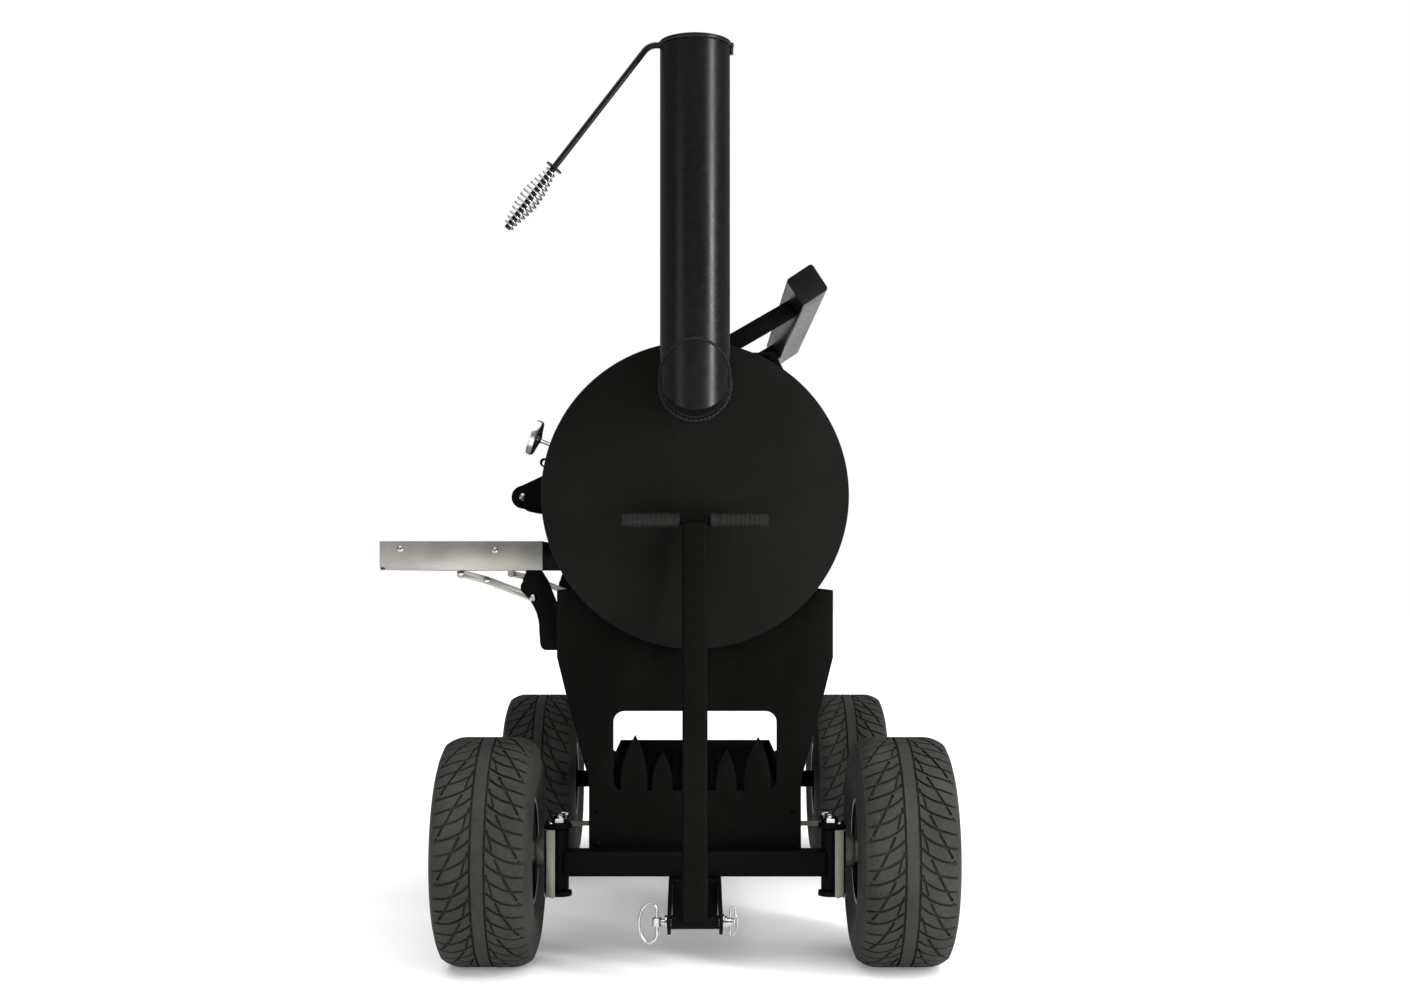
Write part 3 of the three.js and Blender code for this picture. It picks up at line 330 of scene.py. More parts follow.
@dataclass(frozen=True)
class Rubber(Finish):
    """Moulded rubber: fine pebble, grey bloom and dust."""

    pebble: float = 1400.0

    def build(self, g: Graph) -> bpy.types.Material:
        """Rubber nodes."""
        bloom = g.noise(9.0, 5.0)
        dust = g.noise(130.0, 5.0)
        mask = g.limits(bloom * 0.5 + dust * 0.5, (0.36, 0.0), (0.64, 1.0))
        colour = g.blend(mask, self.colour, self.second)
        rough = g.limits(dust, (0.35, self.rough[0]), (0.65, self.rough[1]))
        normal = g.bump(g.cells(self.pebble) + dust, 0.12, 0.0005)
        return g.shade(Base_Color=colour, Roughness=rough, Normal=normal, Specular_IOR_Level=self.specular)


@dataclass(frozen=True)
class Finishes:
    """Every finish of the smoker."""

    paint: Finish = Paint(
        "satin_stove_paint", "black_paint", (0.0015, 0.0015, 0.0012), (0.0028, 0.0027, 0.0023), (0.5, 0.66),
        specular=0.03
    )
    plate: Finish = Paint(
        "matt_plate_paint", "black_paint", (0.003, 0.003, 0.0025), (0.005, 0.0048, 0.0041), (0.62, 0.8),
        specular=0.05
    )
    stack: Finish = Paint(
        "stack_paint", "satin_black", (0.0026, 0.0024, 0.0024), (0.0042, 0.0039, 0.0039), (0.26, 0.36),
        specular=0.2, peel=1300.0, peel_depth=0.06
    )
    bead: Finish = Paint(
        "weld_bead_paint", "black_paint", (0.003, 0.003, 0.0027), (0.007, 0.0066, 0.006), (0.4, 0.6),
        specular=0.12, peel=500.0, peel_depth=0.5
    )
    stainless: Finish = Metal(
        "brushed_stainless", "stainless", (0.19, 0.185, 0.165), (0.26, 0.253, 0.228), (0.34, 0.48), 0.75,
        grain=(60.0, 1.0, 60.0), grain_scale=30.0
    )
    zinc: Finish = Metal(
        "zinc_plate", "zinc_steel", (0.13, 0.135, 0.105), (0.19, 0.195, 0.15), (0.36, 0.55), 0.7,
        spangle=160.0
    )
    chrome: Finish = Metal(
        "bright_chrome", "chrome", (0.28, 0.28, 0.29), (0.42, 0.42, 0.43), (0.08, 0.18), 1.0,
        bump_depth=0.02
    )
    steel: Finish = Metal(
        "bare_steel_bar", "bare_steel", (0.09, 0.085, 0.08), (0.15, 0.14, 0.13), (0.35, 0.6), 0.85
    )
    tyre: Finish = Rubber(
        "tyre_tread_rubber", "tyre_rubber", (0.015, 0.0147, 0.0132), (0.03, 0.0292, 0.0265), (0.6, 0.85),
        specular=0.1
    )
    grip: Finish = Rubber(
        "hand_grip_rubber", "grip_rubber", (0.005, 0.005, 0.0044), (0.009, 0.009, 0.0078), (0.5, 0.7),
        specular=0.1, pebble=2200.0
    )
    dial: Finish = Metal(
        "dial_case_steel", "dial_face", (0.45, 0.45, 0.44), (0.6, 0.6, 0.58), (0.2, 0.34), 0.95
    )


FINISH = Finishes()


# ---------------------------------------------------------------- modelling


@dataclass(frozen=True)
class Datum:
    """The near end plate's middle and front face, from which every place is measured in millimetres."""

    x: float
    y: float

    @classmethod
    def from_frame(cls) -> "Datum":
        """The datum read off the CAD end plate's box."""
        low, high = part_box("chamber_end_plate")
        return cls((low.x + high.x) / 2, low.y)

    def at(self, x: float, y: float, z: float) -> Vector:
        """A place in millimetres as a point in the row frame, in metres."""
        return Vector((self.x + x * MM, self.y + y * MM, z * MM))


class Bench:
    """The modelling bench: meshes are started, shaped and finished here with Blender's own tools."""

    def __init__(self, datum: Datum) -> None:
        """Keeps the datum that places are measured from."""
        self.datum = datum

    @staticmethod
    def clear() -> None:
        """Leaves edit mode and deselects everything."""
        active = bpy.context.object
        if active and active.mode != "OBJECT":
            bpy.ops.object.mode_set(mode="OBJECT")
        bpy.ops.object.select_all(action="DESELECT")

    @classmethod
    def take(cls, obj: bpy.types.Object) -> bpy.types.Object:
        """Selects one object alone and makes it active."""
        cls.clear()
        obj.select_set(True)
        bpy.context.view_layer.objects.active = obj
        return obj

    @classmethod
    def settle(cls, obj: bpy.types.Object) -> bpy.types.Object:
        """Puts an object's place into its mesh."""
        cls.take(obj)
        bpy.ops.object.transform_apply(location=True, rotation=True, scale=True)
        return obj

    @classmethod
    def mend(cls, obj: bpy.types.Object, gap: float = 1e-5) -> bpy.types.Object:
        """Merges doubled corners and turns all faces outwards."""
        cls.take(obj)
        bpy.ops.object.mode_set(mode="EDIT")
        bpy.ops.mesh.select_all(action="SELECT")
        bpy.ops.mesh.remove_doubles(threshold=gap)
        bpy.ops.mesh.normals_make_consistent(inside=False)
        bpy.ops.object.mode_set(mode="OBJECT")
        return obj

    def wire(self, points: Sequence[Vector]) -> bpy.types.Object:
        """Draws a chain of edges by extruding one corner from point to point.

        Args:
            points: the chain's corners, in metres.

        Returns:
            The chain, left in edit mode with everything selected.
        """
        self.clear()
        bpy.ops.mesh.primitive_plane_add(size=0.01)
        obj = bpy.context.object
        bpy.ops.object.mode_set(mode="EDIT")
        bpy.ops.mesh.select_all(action="SELECT")
        bpy.ops.mesh.merge(type="CENTER")
        bpy.ops.transform.translate(value=points[0])
        for before, after in zip(points, points[1:]):
            bpy.ops.mesh.extrude_vertices_move(TRANSFORM_OT_translate={"value": after - before})
        bpy.ops.mesh.select_all(action="SELECT")
        return obj

    def lathe(self, profile: Sequence[Pair], axis: Axis, at: Triple, steps: int = 48) -> bpy.types.Object:
        """Turns a profile about an axis.

        Args:
            profile: (radius, distance along the axis) corners in millimetres, closed or from pole to pole.
            axis: the axis it is turned about.
            at: the place of the profile's zero.
            steps: sides of the turned piece.

        Returns:
            The turned piece in its place.
        """
        return self.aimed(profile, axis.direction, at, steps)

    def aimed(self, profile: Sequence[Pair], aim: Vector, at: Triple, steps: int = 32) -> bpy.types.Object:
        """Turns a profile about any direction, placed at a point in millimetres."""
        obj = self.wire([Vector((r * MM, 0.0, d * MM)) for r, d in profile])
        bpy.ops.mesh.spin(steps=steps, angle=2 * math.pi, center=(0, 0, 0), axis=(0, 0, 1))
        bpy.ops.object.mode_set(mode="OBJECT")
        obj.rotation_mode = "QUATERNION"
        obj.rotation_quaternion = Vector((0, 0, 1)).rotation_difference(aim)
        obj.location = self.datum.at(*at)
        return self.mend(self.settle(obj))

    def plate(self, outline: Sequence[Pair], axis: Axis, start: float, depth: float) -> bpy.types.Object:
        """Cuts a plate from a flat outline.

        Args:
            outline: corners in millimetres: (x, z) along Y, (y, z) along X, or (x, y) along Z.
            axis: the direction of its thickness.
            start: where its first face lies on that axis.
            depth: its thickness.

        Returns:
            The plate in its place.
        """
        place: dict[Axis, Callable[[float, float], Vector]] = {
            Axis.X: lambda a, b: self.datum.at(start, a, b),
            Axis.Y: lambda a, b: self.datum.at(a, start, b),
            Axis.Z: lambda a, b: self.datum.at(a, b, start),
        }
        corners = [place[axis](a, b) for a, b in outline]
        obj = self.wire([*corners, corners[0]])
        bpy.ops.mesh.remove_doubles(threshold=1e-6)
        bpy.ops.mesh.edge_face_add()
        thickness = axis.direction * depth * MM
        bpy.ops.mesh.extrude_region_move(TRANSFORM_OT_translate={"value": thickness})
        bpy.ops.object.mode_set(mode="OBJECT")
        return self.mend(obj)

    def block(self, x: Pair, y: Pair, z: Pair, corner: float = 1.0) -> bpy.types.Object:
        """A block between two limits on each axis, its edges rounded by the corner radius."""
        self.clear()
        middle = self.datum.at(sum(x) / 2, sum(y) / 2, sum(z) / 2)
        size = Vector((x[1] - x[0], y[1] - y[0], z[1] - z[0])) * MM
        bpy.ops.mesh.primitive_cube_add(size=1.0, location=middle, scale=size)
        return self.bevel(self.settle(bpy.context.object), corner, 2)

    @staticmethod
    def _beside(axis: Axis, a: float, b: float) -> Triple:
        """The point at zero on an axis and at a and b on the other two."""
        return {Axis.X: (0, a, b), Axis.Y: (a, 0, b), Axis.Z: (a, b, 0)}[axis]

    def bar(
        self, axis: Axis, radius: float, span: Pair, a: float, b: float, sides: int = 32,
        chamfer: float = 0.8
    ) -> bpy.types.Object:
        """A round bar along an axis with chamfered ends; a and b are its place on the other two axes."""
        low, high = min(span), max(span)
        chamfer = min(chamfer, radius * 0.45, (high - low) * 0.4)
        profile = [
            (0, low), (radius - chamfer, low), (radius, low + chamfer), (radius, high - chamfer),
            (radius - chamfer, high), (0, high)
        ]
        return self.lathe(profile, axis, self._beside(axis, a, b), sides)

    def pipe(
        self, axis: Axis, radii: Pair, span: Pair, a: float, b: float, sides: int = 64, chamfer: float = 1.0
    ) -> bpy.types.Object:
        """A pipe along an axis between an outer and an inner radius, its rims chamfered."""
        outer, inner = max(radii), min(radii)
        low, high = min(span), max(span)
        c = min(chamfer, (outer - inner) * 0.4)
        profile = [
            (inner, low + c), (inner + c, low), (outer - c, low), (outer, low + c),
            (outer, high - c), (outer - c, high), (inner + c, high), (inner, high - c), (inner, low + c),
        ]
        return self.lathe(profile, axis, self._beside(axis, a, b), sides)

    def tube(
        self, points: Sequence[Vector], radius: float, sides: int = 4, closed: bool = False
    ) -> bpy.types.Object:
        """Sweeps a round wire along points in metres; sides is the curve's bevel resolution."""
        self.clear()
        bpy.ops.curve.primitive_nurbs_path_add()
        obj = bpy.context.object
        curve = obj.data
        curve.splines.clear()
        spline = curve.splines.new("POLY")
        spline.points.add(len(points) - 1)
        for corner, point in zip(spline.points, points):
            corner.co = (*point, 1.0)
        spline.use_cyclic_u = closed
        curve.bevel_depth = radius * MM
        curve.bevel_resolution = sides
        curve.use_fill_caps = not closed
        bpy.ops.object.convert(target="MESH")
        return self.mend(self.settle(bpy.context.object), 1e-7)

    def loop(self, points: Sequence[Vector], radius: float, sides: int = 3) -> bpy.types.Object:
        """Sweeps a round wire along a closed ring of points."""
        return self.tube(points, radius, sides, closed=True)

    def hexagon(self, axis: Axis, across: float, span: Pair, a: float, b: float) -> bpy.types.Object:
        """A chamfered hexagon nut or bolt head, measured corner to corner."""
        return self.bar(axis, across / 2, span, a, b, 6, across * 0.05)

    def dome(
        self, aim: Vector, radius: float, height: float, at: Triple, socket: float = 0.0
    ) -> bpy.types.Object:
        """A round screw or rivet head.

        Args:
            aim: the way it faces.
            radius: its radius.
            height: how far it stands up.
            at: the middle of its seat.
            socket: the radius of its drive recess, if it has one.

        Returns:
            The head in its place.
        """
        curve = [(radius * math.cos(t), height * math.sin(t)) for t in (0.0, 0.35, 0.75, 1.15)]
        top = [(socket, height), (socket, height * 0.35), (0, height * 0.35)] if socket else [(0, height)]
        return self.aimed([(0, -0.6), (radius, -0.6), *curve, *top], aim, at, 24)

    def home(self, obj: bpy.types.Object, move: Matrix = Matrix()) -> bpy.types.Object:
        """Takes a piece made at the datum back to the origin, then moves or turns it."""
        obj.data.transform(move @ Matrix.Translation(-self.datum.at(0, 0, 0)))
        return obj

    @classmethod
    def join(cls, first: bpy.types.Object, *others: bpy.types.Object) -> bpy.types.Object:
        """Joins pieces into the first one."""
        cls.clear()
        for other in others:
            other.select_set(True)
        first.select_set(True)
        bpy.context.view_layer.objects.active = first
        bpy.ops.object.join()
        return first

    @classmethod
    def modify(cls, obj: bpy.types.Object, kind: str, **settings: object) -> bpy.types.Object:
        """Adds a modifier with its settings and applies it."""
        cls.take(obj)
        modifier = obj.modifiers.new(kind.lower(), kind)
        for key, value in settings.items():
            setattr(modifier, key, value)
        bpy.ops.object.modifier_apply(modifier=modifier.name)
        return obj

    @classmethod
    def cut(cls, obj: bpy.types.Object, *tools: bpy.types.Object) -> bpy.types.Object:
        """Cuts tools out of a piece and throws the tools away."""
        for tool in tools:
            cls.modify(obj, "BOOLEAN", operation="DIFFERENCE", solver="EXACT", object=tool)
            bpy.data.objects.remove(tool)
        return obj

    @classmethod
    def bevel(
        cls, obj: bpy.types.Object, width: float, segments: int = 2, angle: float = 30.0
    ) -> bpy.types.Object:
        """Rounds every edge sharper than the angle, in degrees, by a width in millimetres."""
        return cls.modify(
            obj, "BEVEL", width=width * MM, segments=segments, limit_method="ANGLE",
            angle_limit=math.radians(angle), harden_normals=False, use_clamp_overlap=True,
        )

    def copy(self, node: str, corner: float = 0.8) -> bpy.types.Object:
        """Copies a CAD node's mesh, merges its loose triangles into clean faces and rounds its edges.

        Args:
            node: the node's name.
            corner: the edge radius in millimetres; 0 leaves the edges.

        Returns:
            The copy.
        """
        source = next(o for o in bpy.data.objects if o.get("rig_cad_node") == node)
        obj = bpy.data.objects.new(node + "_dressed", source.data.copy())
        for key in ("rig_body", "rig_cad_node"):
            if key in obj:
                del obj[key]
        bpy.context.scene.collection.objects.link(obj)
        self.take(obj)
        bpy.ops.object.mode_set(mode="EDIT")
        bpy.ops.mesh.select_all(action="SELECT")
        bpy.ops.mesh.remove_doubles(threshold=2e-6)
        bpy.ops.mesh.dissolve_limited(angle_limit=math.radians(0.5))
        bpy.ops.object.mode_set(mode="OBJECT")
        return self.bevel(obj, corner, 2) if corner else obj


@dataclass
class SubAssembly:
    """A group of pieces made on one bench."""

    bench: Bench

    def dress(
        self,
        obj: bpy.types.Object,
        name: str,
        finish: Finish,
        body: str = "root",
        nodes: Iterable[str] = (),
        angle: float = 32.0,
    ) -> bpy.types.Object:
        """Names a piece, gives it its finish and hangs it on its body.

        Args:
            obj: the piece.
            name: its name.
            finish: its material.
            body: the CAD body it moves with.
            nodes: the CAD nodes it stands for.
            angle: edges sharper than this, in degrees, stay crisp.

        Returns:
            The dressed piece.
        """
        self.bench.take(obj)
        bpy.ops.object.shade_smooth_by_angle(angle=math.radians(angle))
        obj.name = name
        obj.data.name = name
        obj.data.materials.clear()
        obj.data.materials.append(finish.material())
        for polygon in obj.data.polygons:
            polygon.material_index = 0
        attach(obj, body)
        nodes = tuple(nodes)
        if nodes:
            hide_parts(*nodes)
        LOG.info("%s: %d faces on %s", name, len(obj.data.polygons), body)
        return obj

    def build(self) -> None:
        """Builds every piece of the group."""
        raise NotImplementedError


def on_circle(radius: float, degrees: float, middle: float = 930.0) -> Pair:
    """A point (x, z) on a circle round the chamber's axis, or round another height."""
    turn = math.radians(degrees)
    return radius * math.cos(turn), middle + radius * math.sin(turn)


def arc(radius: float, start: float, end: float, steps: int, middle: Pair) -> list[Pair]:
    """Points on an arc between two angles in degrees."""
    turns = [math.radians(start + (end - start) * i / steps) for i in range(steps + 1)]
    return [(middle[0] + radius * math.cos(t), middle[1] + radius * math.sin(t)) for t in turns]


def rounded(x: Pair, z: Pair, corner: float, steps: int = 6) -> list[Pair]:
    """The outline of a rectangle with round corners."""
    inner = (
        (x[1] - corner, z[0] + corner), (x[1] - corner, z[1] - corner), (x[0] + corner, z[1] - corner),
        (x[0] + corner, z[0] + corner)
    )
    return [
        p for i, middle in enumerate(inner) for p in arc(corner, 90.0 * i - 90.0, 90.0 * i, steps, middle)
    ]


# ---------------------------------------------------------------- cook chamber


@dataclass
class Chamber(SubAssembly):
    """The cook chamber: shell, end plates and the weld where the stack enters."""

    radius: float = 305.0
    wall: float = 6.0
    length: float = 1219.0
    axis_z: float = CHAMBER_Z
    door_from: float = 64.0
    door_to: float = 176.5
    door_y: Pair = (116.0, 1104.0)
    firebox_radius: float = 254.0
    firebox_z: float = 700.0
    stack_z: float = 1149.0
    stack_radius: float = 67.0
    ledge_x: Pair = (272.0, 298.0)
    ledge_z: Pair = (923.0, 927.5)
    ledge_end: float = 26.0
    throat_half: float = 116.0

    def build(self) -> None:
        """Builds the chamber's pieces."""
        self.shell()
        self.end_plate()
        self.divider()

    def shell(self) -> None:
        """The rolled shell with its door opening, grate ledges and long seam."""
        bench = self.bench
        span = (self.wall + GAP, self.length - self.wall - GAP)
        shell = bench.pipe(Axis.Y, (self.radius, self.radius - self.wall), span, 0, self.axis_z, 144)
        mouth = [
            *arc(self.radius + 30, self.door_from, self.door_to, 24, (0, self.axis_z)),
            *arc(self.radius - 60, self.door_to, self.door_from, 24, (0, self.axis_z)),
        ]
        bench.cut(shell, bench.plate(mouth, Axis.Y, self.door_y[0], self.door_y[1] - self.door_y[0]))
        for side in (-1, 1):
            x = sorted(side * edge for edge in self.ledge_x)
            y = (self.ledge_end, self.length - self.ledge_end)
            ledge = bench.block((x[0], x[1]), y, self.ledge_z, 0.8)
            bench.join(shell, ledge)
        seam = bench.bar(Axis.Y, 3.5, span, *on_circle(self.radius - 1.2, -60.0), 10)
        bench.join(shell, seam)
        self.dress(shell, "chamber_tube", FINISH.paint, nodes=["chamber_shell"])

    def end_plate(self) -> None:
        """The near end plate: a crisp turned rim, the smoke hole and its weld ring."""
        bench = self.bench
        r, w = self.radius, self.wall
        plate = bench.lathe(
            [(0, 0), (r - 2.4, 0), (r - 0.7, 0.7), (r, 2.4), (r, w - 1), (r - 1, w), (0, w)],
            Axis.Y, (0, 0, self.axis_z), 160,
        )
        bench.cut(plate, bench.bar(Axis.Y, self.stack_radius - 5, (-5, w + 5), 0, self.stack_z, 64))
        self.dress(plate, "end_plate_near", FINISH.plate, nodes=["chamber_end_plate"])
        self.weld_ring("stack_weld", self.stack_radius + 3.0, 6.0, self.stack_z, 0.0)
        self.weld_ring("end_plate_seam", self.radius - 1.4, 1.9, self.axis_z, w)

    def weld_ring(self, name: str, radius: float, size: float, z: float, y: float) -> None:
        """A weld bead laid round a joint as overlapping scales.

        Args:
            name: the bead's name.
            radius: its ring's radius.
            size: the bead's half width.
            z: the ring's height.
            y: the plane that it lies in.
        """
        scales = int(2 * math.pi * radius / (size * 1.5))
        steps = scales * 4
        points = []
        for i in range(steps):
            turn = 2 * math.pi * i / steps
            points.append(self.bench.datum.at(radius * math.cos(turn), y, z + radius * math.sin(turn)))
        bead = self.bench.loop(points, size, 2)
        middle = self.bench.datum.at(0, y, z)
        for vertex in bead.data.vertices:
            offset = vertex.co - middle
            turn = math.atan2(offset.z, offset.x)
            ripple = 1 + 0.16 * math.cos(turn * scales)
            flat = Vector((offset.x, 0, offset.z)).normalized() * radius * MM
            vertex.co = middle + flat + (offset - flat) * ripple
        self.dress(bead, name, FINISH.bead, angle=80)

    def divider(self) -> None:
        """The far plate between the chamber and the firebox, with its fire throat."""
        bench = self.bench
        far = (self.length - self.wall, self.length)
        disc = bench.bar(Axis.Y, self.radius, far, 0, self.axis_z, 144, 1.4)
        fire = bench.bar(Axis.Y, self.firebox_radius, far, 0, self.firebox_z, 144, 1.4)
        bench.modify(disc, "BOOLEAN", operation="UNION", solver="EXACT", object=fire)
        bpy.data.objects.remove(fire)
        low, high = self.axis_z - self.radius + 30, self.firebox_z + self.firebox_radius - 30
        half = self.throat_half
        throat = [
            (-half, high - 66), (-70, low + 40), (0, low + 6), (70, low + 40), (half, high - 66),
            (70, high - 20), (0, high), (-70, high - 20)
        ]
        bench.cut(disc, bench.plate(throat, Axis.Y, far[0] - 5, 16))
        self.dress(disc, "divider", FINISH.paint, nodes=["divider_plate"])


@dataclass
class Stack(SubAssembly):
    """The chimney: mitred elbow, upright, weld bead, swivel lid with its rod and spring grip."""

    radius: float = 67.0
    wall: float = 5.0
    axis_y: float = -111.0
    elbow_z: float = 1149.0
    top_z: float = 1782.0
    lid_radius: float = 70.0
    lid_thick: float = 8.0
    rod: float = 6.0
    bend_x: float = 88.0
    end_x: float = 360.0
    end_z: float = 1436.0
    spring_length: float = 143.0
    spring_turns: int = 14
    spring_ends: float = 9.4
    spring_bulge: float = 10.0
    wire: float = 1.9

    def build(self) -> None:
        """Builds the stack's pieces."""
        self.pipes()
        self.lid()
        self.lid_rod()
        self.spring()

    def half_space(self, offset: float, side: int) -> bpy.types.Object:
        """A large block on one side of the mitre plane, used to cut a pipe's end."""
        self.bench.clear()
        size = 6 * self.radius * MM
        bpy.ops.mesh.primitive_cube_add(size=size, location=(0, 0, side * size / 2))
        block = self.bench.settle(bpy.context.object)
        block.rotation_euler = (math.pi / 4, 0, 0)
        block.location = self.bench.datum.at(0, self.axis_y + offset, self.elbow_z - offset)
        return self.bench.settle(block)

    def pipes(self) -> None:
        """The horizontal leg, the upright with its lid boss, and the bead round the mitre."""
        bench = self.bench
        radii = (self.radius, self.radius - self.wall)
        leg = bench.pipe(Axis.Y, radii, (self.axis_y - 1.5 * self.radius, -GAP), 0, self.elbow_z, 96, 0.6)
        bench.cut(leg, self.half_space(GAP / 2, 1))
        self.dress(leg, "stack_leg", FINISH.stack, nodes=["stack_elbow"])
        upright = bench.pipe(
            Axis.Z, radii, (self.elbow_z - 1.5 * self.radius, self.top_z), 0, self.axis_y, 96, 1.2
        )
        bench.cut(upright, self.half_space(-GAP / 2, -1))
        pivot = self.lid_radius - 1.5
        boss = bench.bar(Axis.Z, 5, (self.top_z - 14, self.top_z - 0.2), pivot, self.axis_y, 24)
        pin = bench.bar(
            Axis.Z, 3, (self.top_z - 6, self.top_z + self.lid_thick + 1.5), pivot, self.axis_y, 20
        )
        bench.join(upright, boss, pin)
        self.dress(upright, "stack_upright", FINISH.stack, nodes=["stack_pipe"])
        steps = 360
        points = []
        for i in range(steps):
            turn = 2 * math.pi * i / steps
            x, up = (self.radius + 0.4) * math.cos(turn), (self.radius + 0.4) * math.sin(turn)
            wobble = 0.5 * math.sin(i * 1.9)
            points.append(bench.datum.at(x, self.axis_y - up + wobble, self.elbow_z + up + wobble))
        self.dress(bench.loop(points, 2.6, 2), "mitre_weld", FINISH.bead, angle=80)

    def lid(self) -> None:
        """The flat lid with a rounded rim and its pivot ear."""
        bench = self.bench
        low = self.top_z + GAP
        high = low + self.lid_thick
        r = self.lid_radius
        lid = bench.lathe(
            [
                (0, low), (r - 1.5, low), (r - 0.4, low + 1.2), (r, low + 3), (r, high - 3),
                (r - 1, high - 0.8), (r - 3, high), (0, high)
            ],
            Axis.Z, (0, self.axis_y, 0), 96,
        )
        ear = bench.bar(Axis.Z, 6, (low, high), r - 1.5, self.axis_y, 32)
        self.dress(bench.join(lid, ear), "lid_disc", FINISH.stack, "stack_lid", ["stack_lid"])

    @property
    def lid_middle(self) -> float:
        """The height of the lid's middle plane."""
        return self.top_z + GAP + self.lid_thick / 2

    def rod_line(self) -> tuple[Vector, Vector]:
        """The rod's far end and the direction down its sloping part."""
        at = self.bench.datum.at
        end = at(-self.end_x, self.axis_y, self.end_z)
        return end, (end - at(-self.bend_x, self.axis_y, self.lid_middle)).normalized()

    def lid_rod(self) -> None:
        """The bent rod with its washer."""
        bench = self.bench
        end, down = self.rod_line()
        start = bench.datum.at(-self.lid_radius + 4, self.axis_y, self.lid_middle)
        bend = bench.datum.at(-self.bend_x, self.axis_y, self.lid_middle)
        before, after = bend + Vector((15 * MM, 0, 0)), bend + down * 15 * MM
        curve = [before.lerp(bend, t).lerp(bend.lerp(after, t), t) for t in (i / 8 for i in range(9))]
        rod = bench.tube([start, *curve, end], self.rod, 6)
        back = self.spring_length + 3.8
        place = end - down * back * MM
        seat = bench.datum.at(0, 0, 0)
        where = ((place.x - seat.x) / MM, (place.y - seat.y) / MM, (place.z - seat.z) / MM)
        washer = bench.aimed(
            [(5.8, -1.5), (16.6, -1.5), (17.5, -0.7), (17.5, 0.7), (16.6, 1.5), (5.8, 1.5), (5.8, -1.5)],
            down, where, 48
        )
        self.dress(bench.join(rod, washer), "lid_handle_rod", FINISH.stack, "stack_lid", ["lid_rod"])

    def spring(self) -> None:
        """The coiled wire grip, narrow at both ends and wide in the middle."""
        end, down = self.rod_line()
        side = Vector((0, 1, 0))
        other = down.cross(side)
        per_turn = 26
        count = self.spring_turns * per_turn
        points = []
        for i in range(count + 1):
            t = i / count
            bulge = math.sin(math.pi * t) ** 1.5
            radius = (self.spring_ends + self.spring_bulge * bulge) * MM
            turn = 2 * math.pi * i / per_turn
            along = (3.0 + (self.spring_length - 5.0) * t) * MM
            points.append(end - down * along + (side * math.cos(turn) + other * math.sin(turn)) * radius)
        coil = self.bench.tube(points, self.wire, 2)
        self.dress(coil, "spring_coil", FINISH.chrome, "stack_lid", ["spring_grip"], angle=60)


